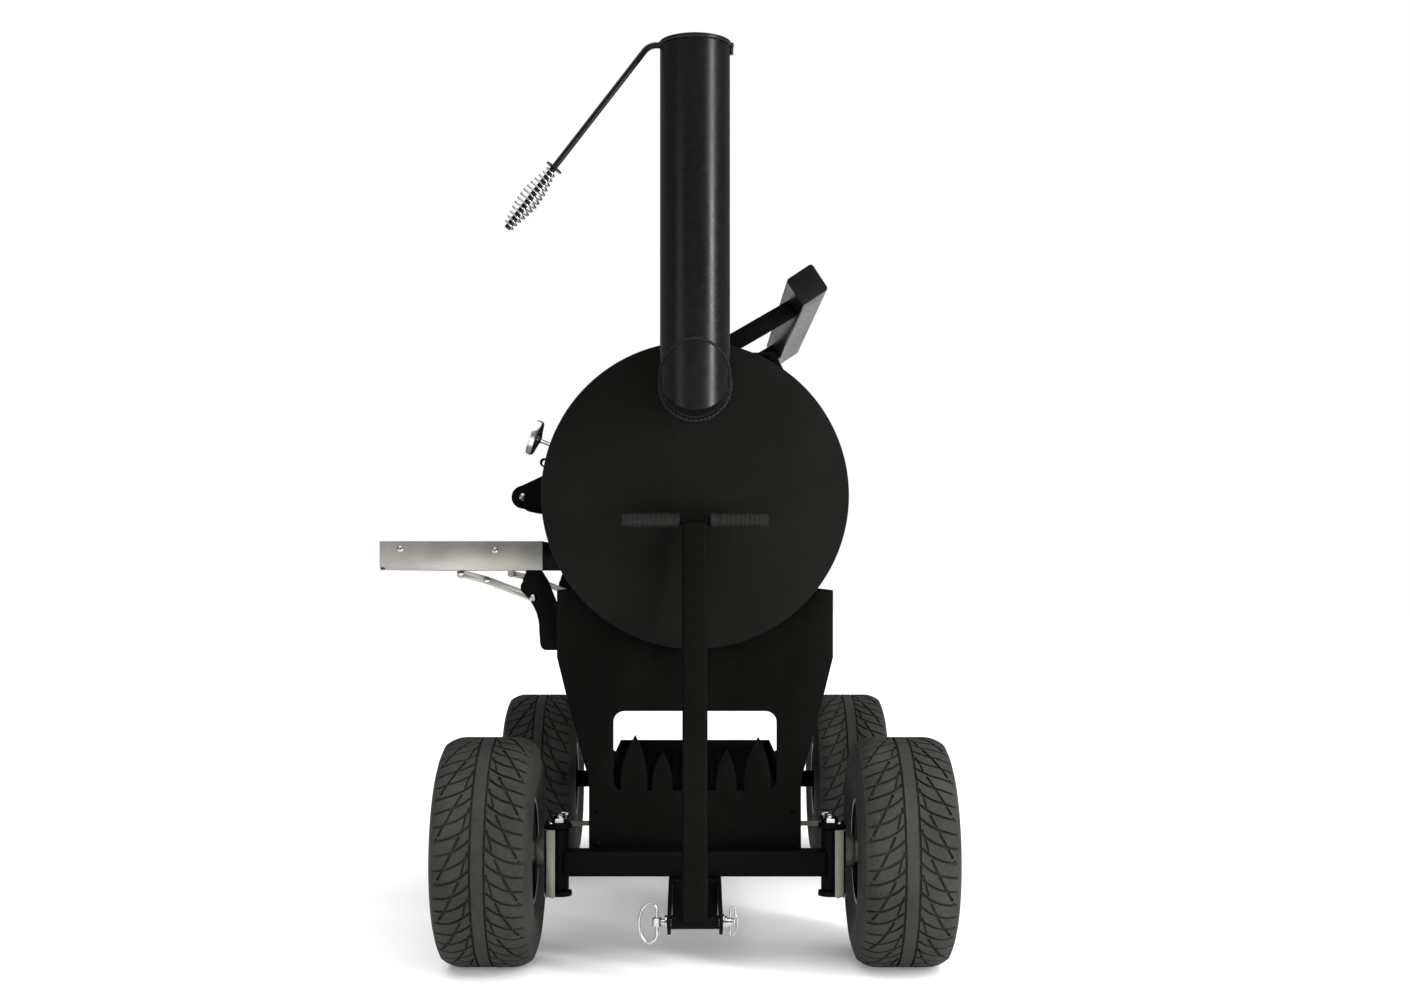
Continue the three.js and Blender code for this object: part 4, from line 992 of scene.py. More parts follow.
@dataclass
class Door(SubAssembly):
    """The chamber door with its hinge, handle, thermometer and counterweight."""

    inner: float = 306.0
    outer: float = 315.0
    start_y: float = 102.0
    length: float = 1016.0
    hinge: Pair = (160.99, 1227.0)
    handle: Pair = (-374.0, 941.0)
    handle_y: Pair = (330.0, 545.0)
    dial_y: float = 235.0
    dial_tilt: float = 158.6
    weight: Pair = (230.0, 1367.0)
    weight_side: float = 63.5
    weight_y: float = 117.0
    weight_length: float = 994.0
    skin: Pair = (61.5, 180.0)
    bracket: float = 10.0
    weight_tilt: float = 33.5

    def build(self) -> None:
        """Builds the door's pieces."""
        self.panel()
        self.hinges()
        self.handle_parts()
        self.thermometer()
        self.counterweight()

    def lug_places(self) -> list[float]:
        """Where the three hinges stand along the door."""
        return [self.start_y + 100 + t * (self.length - 200) for t in (0, 0.5, 1)]

    def panel(self) -> None:
        """The curved door with its hinge leaves and probe guide."""
        bench = self.bench
        middle = (0, CHAMBER_Z)
        top, bottom = self.skin
        outline = [
            *arc(self.outer, top, bottom, 72, middle), *arc(self.inner, bottom, top, 72, middle)
        ]
        panel = bench.bevel(bench.plate(outline, Axis.Y, self.start_y, self.length), 1.4, 3)
        x, z = self.hinge
        strap = [
            (x + 2, z + 13), (x - 63, z + 13), on_circle(self.inner + 4, 72),
            on_circle(self.inner + 4, 62.5), (x - 12, z - 6),
        ]
        for y in self.lug_places():
            leaf = bench.bevel(bench.plate(strap, Axis.Y, y + 8, 28), 1.2)
            knuckle = bench.pipe(Axis.Y, (13, 7.5), (y + 8, y + 36), x, z, 40, 0.8)
            bench.join(panel, leaf, knuckle)
        tube = on_circle(self.outer + 13, 166)
        guide = bench.pipe(Axis.Y, (9.5, 6), (self.dial_y - 12, self.dial_y + 12), *tube, 32, 0.6)
        foot = bench.plate(
            [
                on_circle(self.inner + 5, 165.2), on_circle(self.inner + 5, 167),
                (tube[0] + 2, tube[1] - 8), (tube[0] + 6, tube[1] + 4)
            ],
            Axis.Y, self.dial_y - 8, 16,
        )
        bench.join(panel, guide, foot)
        self.dress(panel, "door_skin", FINISH.paint, "chamber_door", ["door_panel"])

    def hinges(self) -> None:
        """The fixed hinge lugs and the long pin through them."""
        bench = self.bench
        x, z = self.hinge
        lug_line = [
            (x - 11, z - 5), (x + 5, z - 27), on_circle(304.6, 54.3), on_circle(304.6, 44.4), (x + 11.5, z)
        ]
        places = self.lug_places()
        pin = bench.bar(Axis.Y, 7, (places[0] - 14, places[2] + 50), x, z, 32, 1.5)
        for y in places:
            boss = bench.pipe(Axis.Y, (12, 7), (y - 7, y + 7), x, z, 40, 0.8)
            lug = bench.bevel(
                bench.plate([*lug_line, (x + 8, z + 8.5), (x - 8, z + 8.5)], Axis.Y, y - 6.8, 13.6), 1.0
            )
            bench.join(pin, boss, lug)
        self.dress(pin, "hinge_pin_and_lugs", FINISH.paint, nodes=["door_hinge"])

    def handle_parts(self) -> None:
        """The two brackets, the bar between them and the bar's screws."""
        bench = self.bench
        x, z = self.handle
        low_x, low_z = x + 19, z - 9
        outline = [
            on_circle(self.outer + 0.6, 167.5), *arc(25, 100, 262, 18, (x, z)),
            *arc(20, 262, 300, 6, (low_x, low_z)),
            on_circle(self.outer + 0.6, 178),
        ]
        for name, y in zip(("near", "far"), self.handle_y):
            bracket = bench.bevel(bench.plate(outline, Axis.Y, y, self.bracket), 1.2)
            self.dress(
                bracket, f"handle_arm_{name}", FINISH.paint, "chamber_door", [f"handle_bracket_{name}"]
            )
        low, high = self.handle_y[0] + self.bracket + GAP, self.handle_y[1] - GAP
        r = 15.0
        grip = bench.lathe(
            [
                (0, low), (r - 3, low), (r - 3, low + 6), (r - 0.6, low + 8), (r, low + 14), (r, high - 14),
                (r - 0.6, high - 8), (r - 3, high - 6), (r - 3, high), (0, high)
            ],
            Axis.Y, (x, 0, z), 40,
        )
        self.dress(grip, "handle_grip", FINISH.steel, "chamber_door", ["handle_bar"])
        near = bench.dome(Vector((0, -1, 0)), 8.5, 3.2, (x, self.handle_y[0], z), 3.0)
        far = bench.dome(Vector((0, 1, 0)), 8.5, 3.2, (x, self.handle_y[1] + self.bracket, z), 3.0)
        self.dress(bench.join(near, far), "handle_screws", FINISH.chrome, "chamber_door")

    def thermometer(self) -> None:
        """The dial: cone back, bezel, face, glass rim, nut and probe."""
        bench = self.bench
        x, z = on_circle(self.outer, self.dial_tilt)
        aim = Vector((x, 0, z - CHAMBER_Z)).normalized()
        at = (x, self.dial_y, z)
        body = bench.aimed(
            [
                (0, -70), (3, -70), (4, -67), (4, -12), (6, -11.5), (6, 0.3), (7, 0.3), (7, 14), (6.5, 15),
                (6.5, 34),
                (9, 36), (27, 40), (34, 41.2), (37.2, 43.5), (38, 46), (38, 53), (37.2, 55.4), (35.6, 56),
                (34.6, 55), (34.4, 52.6), (0, 52.6),
            ],
            aim, at, 64,
        )
        self.dress(body, "dial_case", FINISH.dial, "chamber_door", ["thermometer"])
        nut = bench.aimed(
            [(6, 0.4), (12, 0.4), (12.7, 1.2), (12.7, 8), (12, 8.8), (6, 8.8), (6, 0.4)], aim, at, 6
        )
        self.dress(nut, "dial_nut", FINISH.chrome, "chamber_door")

    def counterweight(self) -> None:
        """The square bar, capped and rounded, on its two flat arms."""
        bench = self.bench
        x, z = self.weight
        half = self.weight_side / 2
        turn = math.radians(self.weight_tilt)
        outline = [
            (x + a * math.cos(turn) - b * math.sin(turn), z + a * math.sin(turn) + b * math.cos(turn))
            for a, b in rounded((-half, half), (-half, half), 7)
        ]
        bar = bench.bevel(bench.plate(outline, Axis.Y, self.weight_y, self.weight_length), 1.3, 3, 50)
        self.dress(bar, "counterweight_bar", FINISH.stack, "chamber_door", ["counterweight"])
        for name in ("door_arm_near", "door_arm_far"):
            self.dress(
                bench.copy(name, 1.0), name.replace("door_", "weight_"), FINISH.paint, "chamber_door",
                [name]
            )


# ---------------------------------------------------------------- firebox


@dataclass
class Firebox(SubAssembly):
    """The firebox: shell, end plate, and door with latch and air damper."""

    radius: float = 254.0
    wall: float = 6.0
    axis_z: float = 700.0
    start_y: float = 1219.3
    end_y: float = 1774.3
    door: Pair = (330.0, 280.0)
    door_thick: float = 8.0
    post_x: float = 179.0
    damper_z: float = 640.0

    def build(self) -> None:
        """Builds the firebox's pieces."""
        self.shell()
        self.back()
        self.hatch()
        self.latch_and_damper()

    def shell(self) -> None:
        """The rolled shell."""
        span = (self.start_y, self.end_y - self.wall - 0.3)
        tube = self.bench.pipe(Axis.Y, (self.radius, self.radius - self.wall), span, 0, self.axis_z, 128)
        self.dress(tube, "firebox_tube", FINISH.paint, nodes=["firebox_shell"])

    def back(self) -> None:
        """The end plate with its mouth, hinge posts and latch keeper."""
        bench = self.bench
        end, z0 = self.end_y, self.axis_z
        disc = bench.bar(Axis.Y, self.radius, (end - 6, end), 0, z0, 128, 1.4)
        w, h = self.door[0] / 2 - 18, self.door[1] / 2 - 18
        mouth = rounded((-w, w), (z0 - h, z0 + h), 14)
        bench.cut(disc, bench.plate(mouth, Axis.Y, end - 12, 24))
        for side in (-1, 1):
            z = z0 + side * (self.door[1] / 2 - 20)
            low, high = (z - 12, z + 38) if side < 0 else (z - 38, z + 12)
            post = bench.block((self.post_x - 5, self.post_x + 5), (end - 1, end + 12), (z - 12, z + 12), 1)
            knuckle = bench.pipe(Axis.Z, (9, 4), (z - 12, z + 12), self.post_x, end + 12, 32, 0.6)
            pin = bench.bar(Axis.Z, 4, (low, high), self.post_x, end + 12, 20)
            bench.join(disc, post, knuckle, pin)
        keeper = bench.block((-197, -181), (end - 1, end + 16), (z0 - 30, z0 - 24), 1.2)
        self.dress(bench.join(disc, keeper), "firebox_back", FINISH.paint, nodes=["firebox_end_plate"])

    def air_holes(self, y: float) -> list[bpy.types.Object]:
        """Three round cutters for the air holes, starting at a place along Y."""
        holes = []
        for i in range(3):
            turn = i * 2 * math.pi / 3 + math.pi / 2
            x, z = 34 * math.cos(turn), self.damper_z + 34 * math.sin(turn)
            holes.append(self.bench.bar(Axis.Y, 13, (y, y + 25), x, z, 32, 0.1))
        return holes

    def hatch(self) -> None:
        """The hatch: a round-cornered slab with leaves and air holes."""
        bench = self.bench
        y = self.end_y + 1
        w, h = self.door[0] / 2, self.door[1] / 2
        slab = bench.plate(
            rounded((-w, w), (self.axis_z - h, self.axis_z + h), 6), Axis.Y, y, self.door_thick
        )
        bench.bevel(slab, 1.4, 3)
        bench.cut(slab, *self.air_holes(y - 5))
        for side in (-1, 1):
            z = self.axis_z + side * (h - 45.5)
            leaf = bench.block(
                (w - 30, self.post_x - 6), (y + self.door_thick - 1, y + 16), (z - 12, z + 12), 1
            )
            knuckle = bench.pipe(Axis.Z, (9, 4.5), (z - 12, z + 12), self.post_x, self.end_y + 12, 32, 0.6)
            bench.join(slab, leaf, knuckle)
        self.dress(slab, "firebox_hatch", FINISH.paint, "firebox_door", ["firebox_door"])

    def latch_and_damper(self) -> None:
        """The turning latch with its ball grip, and the air disc with its knob."""
        bench = self.bench
        face = self.end_y + 9
        x = -135.0
        arm = bench.plate(
            [*arc(11, -90, 90, 10, (x, self.axis_z)), *arc(11, 90, 270, 10, (-189, self.axis_z))], Axis.Y,
            face + 0.3, 7.7,
        )
        bench.bevel(arm, 1.0)
        hub = bench.bar(Axis.Y, 6, (face - 6, face + 4), x, self.axis_z, 24)
        grip = bench.lathe(
            [(0, 6), (7, 6), (7, 10), (5, 14), (4.8, 24), (7, 29), (7, 44), (5.4, 46), (0, 46)], Axis.Y,
            (x + 4, face, self.axis_z), 32,
        )
        self.dress(
            bench.join(arm, hub, grip), "hatch_latch", FINISH.steel, "firebox_latch", ["firebox_latch"]
        )
        disc = bench.bar(Axis.Y, 54, (face + 0.3, face + 3.3), 0, self.damper_z, 72, 0.8)
        bench.cut(disc, *self.air_holes(face - 4))
        knob = bench.lathe(
            [(0, -6), (5, -6), (5, 12), (9, 14), (11, 17), (11, 27), (9, 30), (0, 30)], Axis.Y,
            (0, face, self.damper_z), 32,
        )
        self.dress(bench.join(disc, knob), "air_disc", FINISH.steel, "air_damper", ["air_damper"])


# ---------------------------------------------------------------- cart


@dataclass
class Cart(SubAssembly):
    """The sheet-metal cart: panels, rails, mesh tray and their bolts."""

    tray_half: float = 198.0
    tray_y: Pair = (38.1, 1161.9)
    tray_z: Pair = (303.0, 332.0)
    strand: float = 1.9
    pitch: float = 22.0
    panel_half: float = 276.0

    def build(self) -> None:
        """Builds the cart's pieces."""
        bench = self.bench
        plain = {
            "front_panel": ("panel_near", 0.8),
            "rear_panel": ("panel_far", 0.8),
            "side_rail_left": ("rail_left", 0.8),
            "side_rail_right": ("rail_right", 0.8),
            "frame_rail_left": ("floor_rail_left", 0.6),
            "frame_rail_right": ("floor_rail_right", 0.6),
        }
        for node, (name, corner) in plain.items():
            self.dress(bench.copy(node, corner), name, FINISH.paint, nodes=[node])
        self.tray()
        self.bolts()

    def tray(self) -> None:
        """The storage tray: a folded rim round a floor of crossed mesh strands."""
        bench = self.bench
        half, (y0, y1), (z0, z1) = self.tray_half, self.tray_y, self.tray_z
        rim = bench.block((-half, -half + 2.5), (y0, y1), (z0, z1), 0.7)
        bench.join(
            rim,
            bench.block((half - 2.5, half), (y0, y1), (z0, z1), 0.7),
            bench.block((-half, half), (y0, y0 + 2.5), (z0, z1), 0.7),
            bench.block((-half, half), (y1 - 2.5, y1), (z0, z1), 0.7),
        )
        slope = 0.5
        strands = []
        reach = 2 * half * slope
        for lean in (-1, 1):
            start = y0 - reach
            while start < y1:
                ends = self.clipped(start, lean * slope, y0 + 2, y1 - 2)
                start += self.pitch
                if ends:
                    strands.append(self.strand_bar(*ends, z0 + 1.6 + 0.4 * lean))
        self.dress(bench.join(rim, *strands), "mesh_tray", FINISH.paint, nodes=["storage_tray"])

    def clipped(self, start: float, slope: float, low: float, high: float) -> Optional[tuple[Pair, Pair]]:
        """One strand's two ends inside the rim, or None where it misses the tray."""
        half = self.tray_half - 2
        xs = [-half, half]
        base = start if slope > 0 else start + 2 * self.tray_half * abs(slope)
        for i, x in enumerate(xs):
            y = base + (x + half) * slope
            if y < low:
                xs[i] = (low - base) / slope - half
            elif y > high:
                xs[i] = (high - base) / slope - half
        if abs(xs[1] - xs[0]) < 8 or not all(-half - 1 <= x <= half + 1 for x in xs):
            return None
        ends = [(x, base + (x + half) * slope) for x in xs]
        return ends[0], ends[1]

    def strand_bar(self, start: Pair, end: Pair, z: float) -> bpy.types.Object:
        """A flat strand of the mesh between two places on the floor."""
        a, b = self.bench.datum.at(*start, z), self.bench.datum.at(*end, z)
        self.bench.clear()
        bpy.ops.mesh.primitive_cube_add(size=1.0)
        bar = bpy.context.object
        bar.scale = ((b - a).length, 2 * self.strand * MM, self.strand * MM)
        bar.rotation_euler = (0.35, 0, math.atan2(b.y - a.y, b.x - a.x))
        bar.location = (a + b) / 2
        return self.bench.settle(bar)

    def bolts(self) -> None:
        """Round-headed bolts that hold the rails and brackets to the panels."""
        bench = self.bench
        heads = []
        for z in (722.0, 630.0):
            for y in (90.0, 1110.0):
                heads.append(bench.dome(Vector((1, 0, 0)), 7.5, 4.0, (self.panel_half, y, z), 2.6))
        self.dress(bench.join(*heads), "rail_bolts", FINISH.paint)
        screws = []
        for x in (-195.0, 195.0):
            for z in (235.0, 300.0):
                screws.append(bench.dome(Vector((0, -1, 0)), 6.0, 3.0, (x, 31.8, z), 2.2))
        self.dress(bench.join(*screws), "panel_screws", FINISH.paint)


# ---------------------------------------------------------------- wheels


@dataclass
class Wheels(SubAssembly):
    """Four wheels: treaded tyre, dished rim with nuts and a hub cap."""

    radius: float = 225.0
    half: float = 97.5
    track: float = 405.0
    front_y: float = 7.0
    rear_y: float = 1193.0
    repeats: int = 17
    groove: float = 6.0
    shoulder: float = 86.0
    slots: int = 10
    slot_circle: float = 79.0
    nuts: int = 5
    nut_circle: float = 50.0
    weep_across: float = 77.0
    lateral_width: float = 5.0
    short_width: float = 4.0
    long_width: float = 5.2
    crown_flat: float = 48.0
    crown_run: float = 39.0
    crown_drop: float = 14.0

    def build(self) -> None:
        """Models one tyre and one rim, then stands a copy at each corner."""
        tyre = self.tyre()
        rim, nuts = self.rim()
        corners = {
            "front_left": (-1, self.front_y),
            "front_right": (1, self.front_y),
            "rear_left": (-1, self.rear_y),
            "rear_right": (1, self.rear_y),
        }
        for corner, (side, y) in corners.items():
            self.stand(tyre, side, y, f"tread_{corner}", FINISH.tyre, [f"tyre_{corner}"], False)
            self.stand(rim, side, y, f"wheel_dish_{corner}", FINISH.stack, [f"rim_{corner}"], side < 0)
            self.stand(nuts, side, y, f"wheel_nuts_{corner}", FINISH.chrome, [], side < 0)
        for pattern in (tyre, rim, nuts):
            bpy.data.objects.remove(pattern)

    def stand(
        self, pattern: bpy.types.Object, side: int, y: float, name: str, finish: Finish, nodes: list[str],
        swap: bool,
    ) -> None:
        """Copies a part made round the origin on the X axis to one corner of the cart.

        Args:
            pattern: the part, its outer face towards +X.
            side: -1 for the left, 1 for the right.
            y: the axle's place.
            name: the copy's name.
            finish: its material.
            nodes: the CAD nodes it stands for.
            swap: whether its outer face is turned round to the left.
        """
        self.bench.take(pattern)
        bpy.ops.object.duplicate()
        copy = bpy.context.object
        turn = Matrix.Rotation(math.pi if swap else 0.0, 4, "Z")
        corner = "_".join(name.split("_")[-2:])
        place = Matrix.Translation(self.bench.datum.at(side * self.track, y, self.radius))
        copy.data.transform(place @ turn)
        self.dress(copy, name, finish, f"wheel_{corner}", nodes, 34)

    def crown(self, across: float) -> float:
        """How far the tread surface lies below its middle at a distance across, in millimetres."""
        return -self.crown_drop * max(0.0, (abs(across) - self.crown_flat) / self.crown_run) ** 2.1

    def ribbon(self, line: Sequence[Pair], width: float, deep: float) -> bpy.types.Object:
        """A cutter that follows a line over the flat tread.

        Args:
            line: (across, along) points in millimetres.
            width: the groove's width.
            deep: its depth.

        Returns:
            The cutter, made round the origin with height along Z.
        """
        left, right = [], []
        for i, point in enumerate(line):
            before, after = line[max(i - 1, 0)], line[min(i + 1, len(line) - 1)]
            dx, dy = after[0] - before[0], after[1] - before[1]
            size = math.hypot(dx, dy)
            nx, ny = -dy / size * width / 2, dx / size * width / 2
            left.append((point[0] + nx, point[1] + ny))
            right.append((point[0] - nx, point[1] - ny))
        ring = [Vector((a * MM, b * MM, -deep * MM)) for a, b in [*left, *reversed(right)]]
        obj = self.bench.wire([*ring, ring[0]])
        bpy.ops.mesh.remove_doubles(threshold=1e-6)
        bpy.ops.mesh.edge_face_add()
        bpy.ops.mesh.extrude_region_move(TRANSFORM_OT_translate={"value": (0, 0, (deep + 5) * MM)})
        bpy.ops.object.mode_set(mode="OBJECT")
        return self.bench.mend(obj)

    def groove_lines(self, pitch: float) -> list[tuple[list[Pair], float, float]]:
        """The grooves of one repeat as lines over the flat tread, with their widths and depths."""
        lines = []
        for side in (-1, 1):
            for k in range(-2, 5):
                start = k * pitch / 3 + (pitch / 6 if side > 0 else 0)
                lateral = []
                for i in range(9):
                    v = 15.0 + 77.0 * i / 8
                    lateral.append((side * v, start - 34.0 * (1 - math.exp(-(v - 15.0) / 30.0))))
                lines.append((lateral, self.lateral_width, self.groove))
            for k in (-1, 0, 1):
                start = k * pitch + (pitch / 2 if side > 0 else 0)
                short = [(side * 17, start + 34), (side * 23, start + 14), (side * 28, start - 8)]
                lines.append((short, self.short_width, self.groove - 1.1))
                long = [
                    (side * (33 + 41 * t), start + 62 - 92 * t + 10 * t * t)
                    for t in (0, 0.25, 0.5, 0.75, 1)
                ]
                lines.append((long, self.long_width, self.groove - 0.6))
        return lines

    def tread_block(self, pitch: float) -> bpy.types.Object:
        """One repeat of the tread, flat, with all its grooves cut."""
        steps = 14
        edge, rib, deep = self.shoulder, (11.0, 15.6), -self.groove - 0.4
        columns = [30, 48, 55, 60, 65, 70, 75, 80]
        right = [
            (rib[0], 0), (rib[0] + 0.4, deep), (rib[1] - 0.4, deep), (rib[1], 0),
            *[(x, 0) for x in columns], (edge, 0), (edge, -10)
        ]
        outline = [*[(-a, b) for a, b in reversed(right)], *right]
        points = [Vector((a * MM, 0, b * MM)) for a, b in outline]
        obj = self.bench.wire([*points, points[0]])
        bpy.ops.mesh.remove_doubles(threshold=1e-6)
        bpy.ops.mesh.edge_face_add()
        for _ in range(steps):
            bpy.ops.mesh.extrude_region_move(TRANSFORM_OT_translate={"value": (0, pitch * MM / steps, 0)})
        bpy.ops.object.mode_set(mode="OBJECT")
        self.bench.mend(obj)
        cutters = [self.ribbon(line, width, deep) for line, width, deep in self.groove_lines(pitch)]
        for side in (-1, 1):
            for k in (-1, 0, 1):
                y = k * pitch + (pitch / 2 if side > 0 else 0) - 26.0
                hole = self.bench.lathe([(0, -4), (2.6, -4), (2.6, 6), (0, 6)], Axis.Z, (0, 0, 0), 10)
                cutters.append(
                    self.bench.home(hole, Matrix.Translation((side * self.weep_across * MM, y * MM, 0)))
                )
        self.bench.cut(obj, *cutters)
        return obj

    def wrap(self, flat: bpy.types.Object, pitch: float) -> bpy.types.Object:
        """Bends the flat repeat round the axle and repeats it all the way round."""
        eps = 1e-5
        self.bench.take(flat)
        bpy.ops.object.mode_set(mode="EDIT")
        bpy.ops.mesh.select_mode(type="FACE")
        bpy.ops.mesh.select_all(action="DESELECT")
        bpy.ops.object.mode_set(mode="OBJECT")
        for polygon in flat.data.polygons:
            along = [flat.data.vertices[i].co.y for i in polygon.vertices]
            polygon.select = max(along) < eps or min(along) > pitch * MM - eps
        bpy.ops.object.mode_set(mode="EDIT")
        bpy.ops.mesh.delete(type="FACE")
        bpy.ops.mesh.select_mode(type="VERT")
        bpy.ops.object.mode_set(mode="OBJECT")
        for vertex in flat.data.vertices:
            turn = vertex.co.y / (self.radius * MM) + math.pi
            reach = self.radius * MM + vertex.co.z + self.crown(vertex.co.x / MM) * MM
            vertex.co = Vector((vertex.co.x, math.cos(turn) * reach, -math.sin(turn) * reach))
        copies = []
        for i in range(1, self.repeats):
            self.bench.take(flat)
            bpy.ops.object.duplicate()
            copy = bpy.context.object
            copy.data.transform(Matrix.Rotation(-2 * math.pi * i / self.repeats, 4, "X"))
            copies.append(copy)
        return self.bench.mend(self.bench.join(flat, *copies), 4e-5)

    def tyre(self) -> bpy.types.Object:
        """The tyre round the origin: a treaded band on a carcass with ringed flanks."""
        pitch = 2 * math.pi * self.radius / self.repeats
        band = self.wrap(self.tread_block(pitch), pitch)
        r, h = self.radius, self.half
        side = [
            (r - 13.5, 84.5), (r - 17, 87.6), (r - 26, 91.5), (r - 40, 95.4), (r - 52, h - 0.6), (r - 62, h),
            (r - 66, h - 0.4), (r - 67, h - 1.4), (r - 72, h - 1.5), (r - 73, h - 0.8), (r - 84, h - 3.2),
            (r - 98, h - 8.5),
            (r - 108, h - 11), (r - 112, h - 11.4), (r - 116, h - 13), (102, h - 17), (101.2, h - 20),
            (101.2, h - 38),
        ]
        inner = [(140, h - 24), (r - 22, h - 40)]
        outline = [*side, *inner]
        full = [*outline, *[(a, -b) for a, b in reversed(outline)]]
        carcass = self.bench.lathe([*full, full[0]], Axis.X, (0, 0, 0), 128)
        return self.bench.join(band, self.bench.home(carcass))

    def rim(self) -> tuple[bpy.types.Object, bpy.types.Object]:
        """The pressed rim with its hub round the origin, and its nuts and grease cap."""
        bench = self.bench
        h = self.half - 17.0
        profile = [
            (14, -42), (34, -42), (34, 10), (40, 13), (60, 14), (72, 20), (86, 19), (92, 12), (93, -h + 6),
            (98, -h - 1), (106, -h - 1.5),
            (107, -h - 4), (105.5, -h - 5.4), (97, -h - 5), (96.4, -h + 12), (96.4, h - 12), (97, h + 5),
            (105.5, h + 5.4), (107, h + 4),
            (106, h + 1.5), (98, h + 1), (93, h - 6), (90, 26), (84, 25), (72, 26), (58, 20), (40, 19),
            (34, 22), (33, 40), (31, 42), (14, 42), (14, -42),
        ]
        dish = bench.lathe(profile, Axis.X, (0, 0, 0), 96)
        bench.home(dish)
        for i in range(self.slots):
            turn = Matrix.Rotation(2 * math.pi * (i + 0.5) / self.slots, 4, "X")
            slot = bench.bar(Axis.X, 6.5, (10, 40), 0, 0, 20, 0.1)
            bench.cut(dish, bench.home(slot, turn @ Matrix.Translation((0, 0, self.slot_circle * MM))))
        parts = []
        for i in range(self.nuts):
            turn = Matrix.Rotation(2 * math.pi * i / self.nuts, 4, "X")
            nut = bench.hexagon(Axis.X, 19, (18, 30), 0, 0)
            bench.join(nut, bench.bar(Axis.X, 5.5, (20, 35), 0, 0, 16))
            parts.append(bench.home(nut, turn @ Matrix.Translation((0, 0, self.nut_circle * MM))))
        cap_line = [(13, 41), (24, 41), (24.5, 44), (23.5, 54), (19, 58), (0, 59)]
        cap = bench.home(bench.lathe(cap_line, Axis.X, (0, 0, 0), 40))
        return dish, bench.join(cap, *parts)


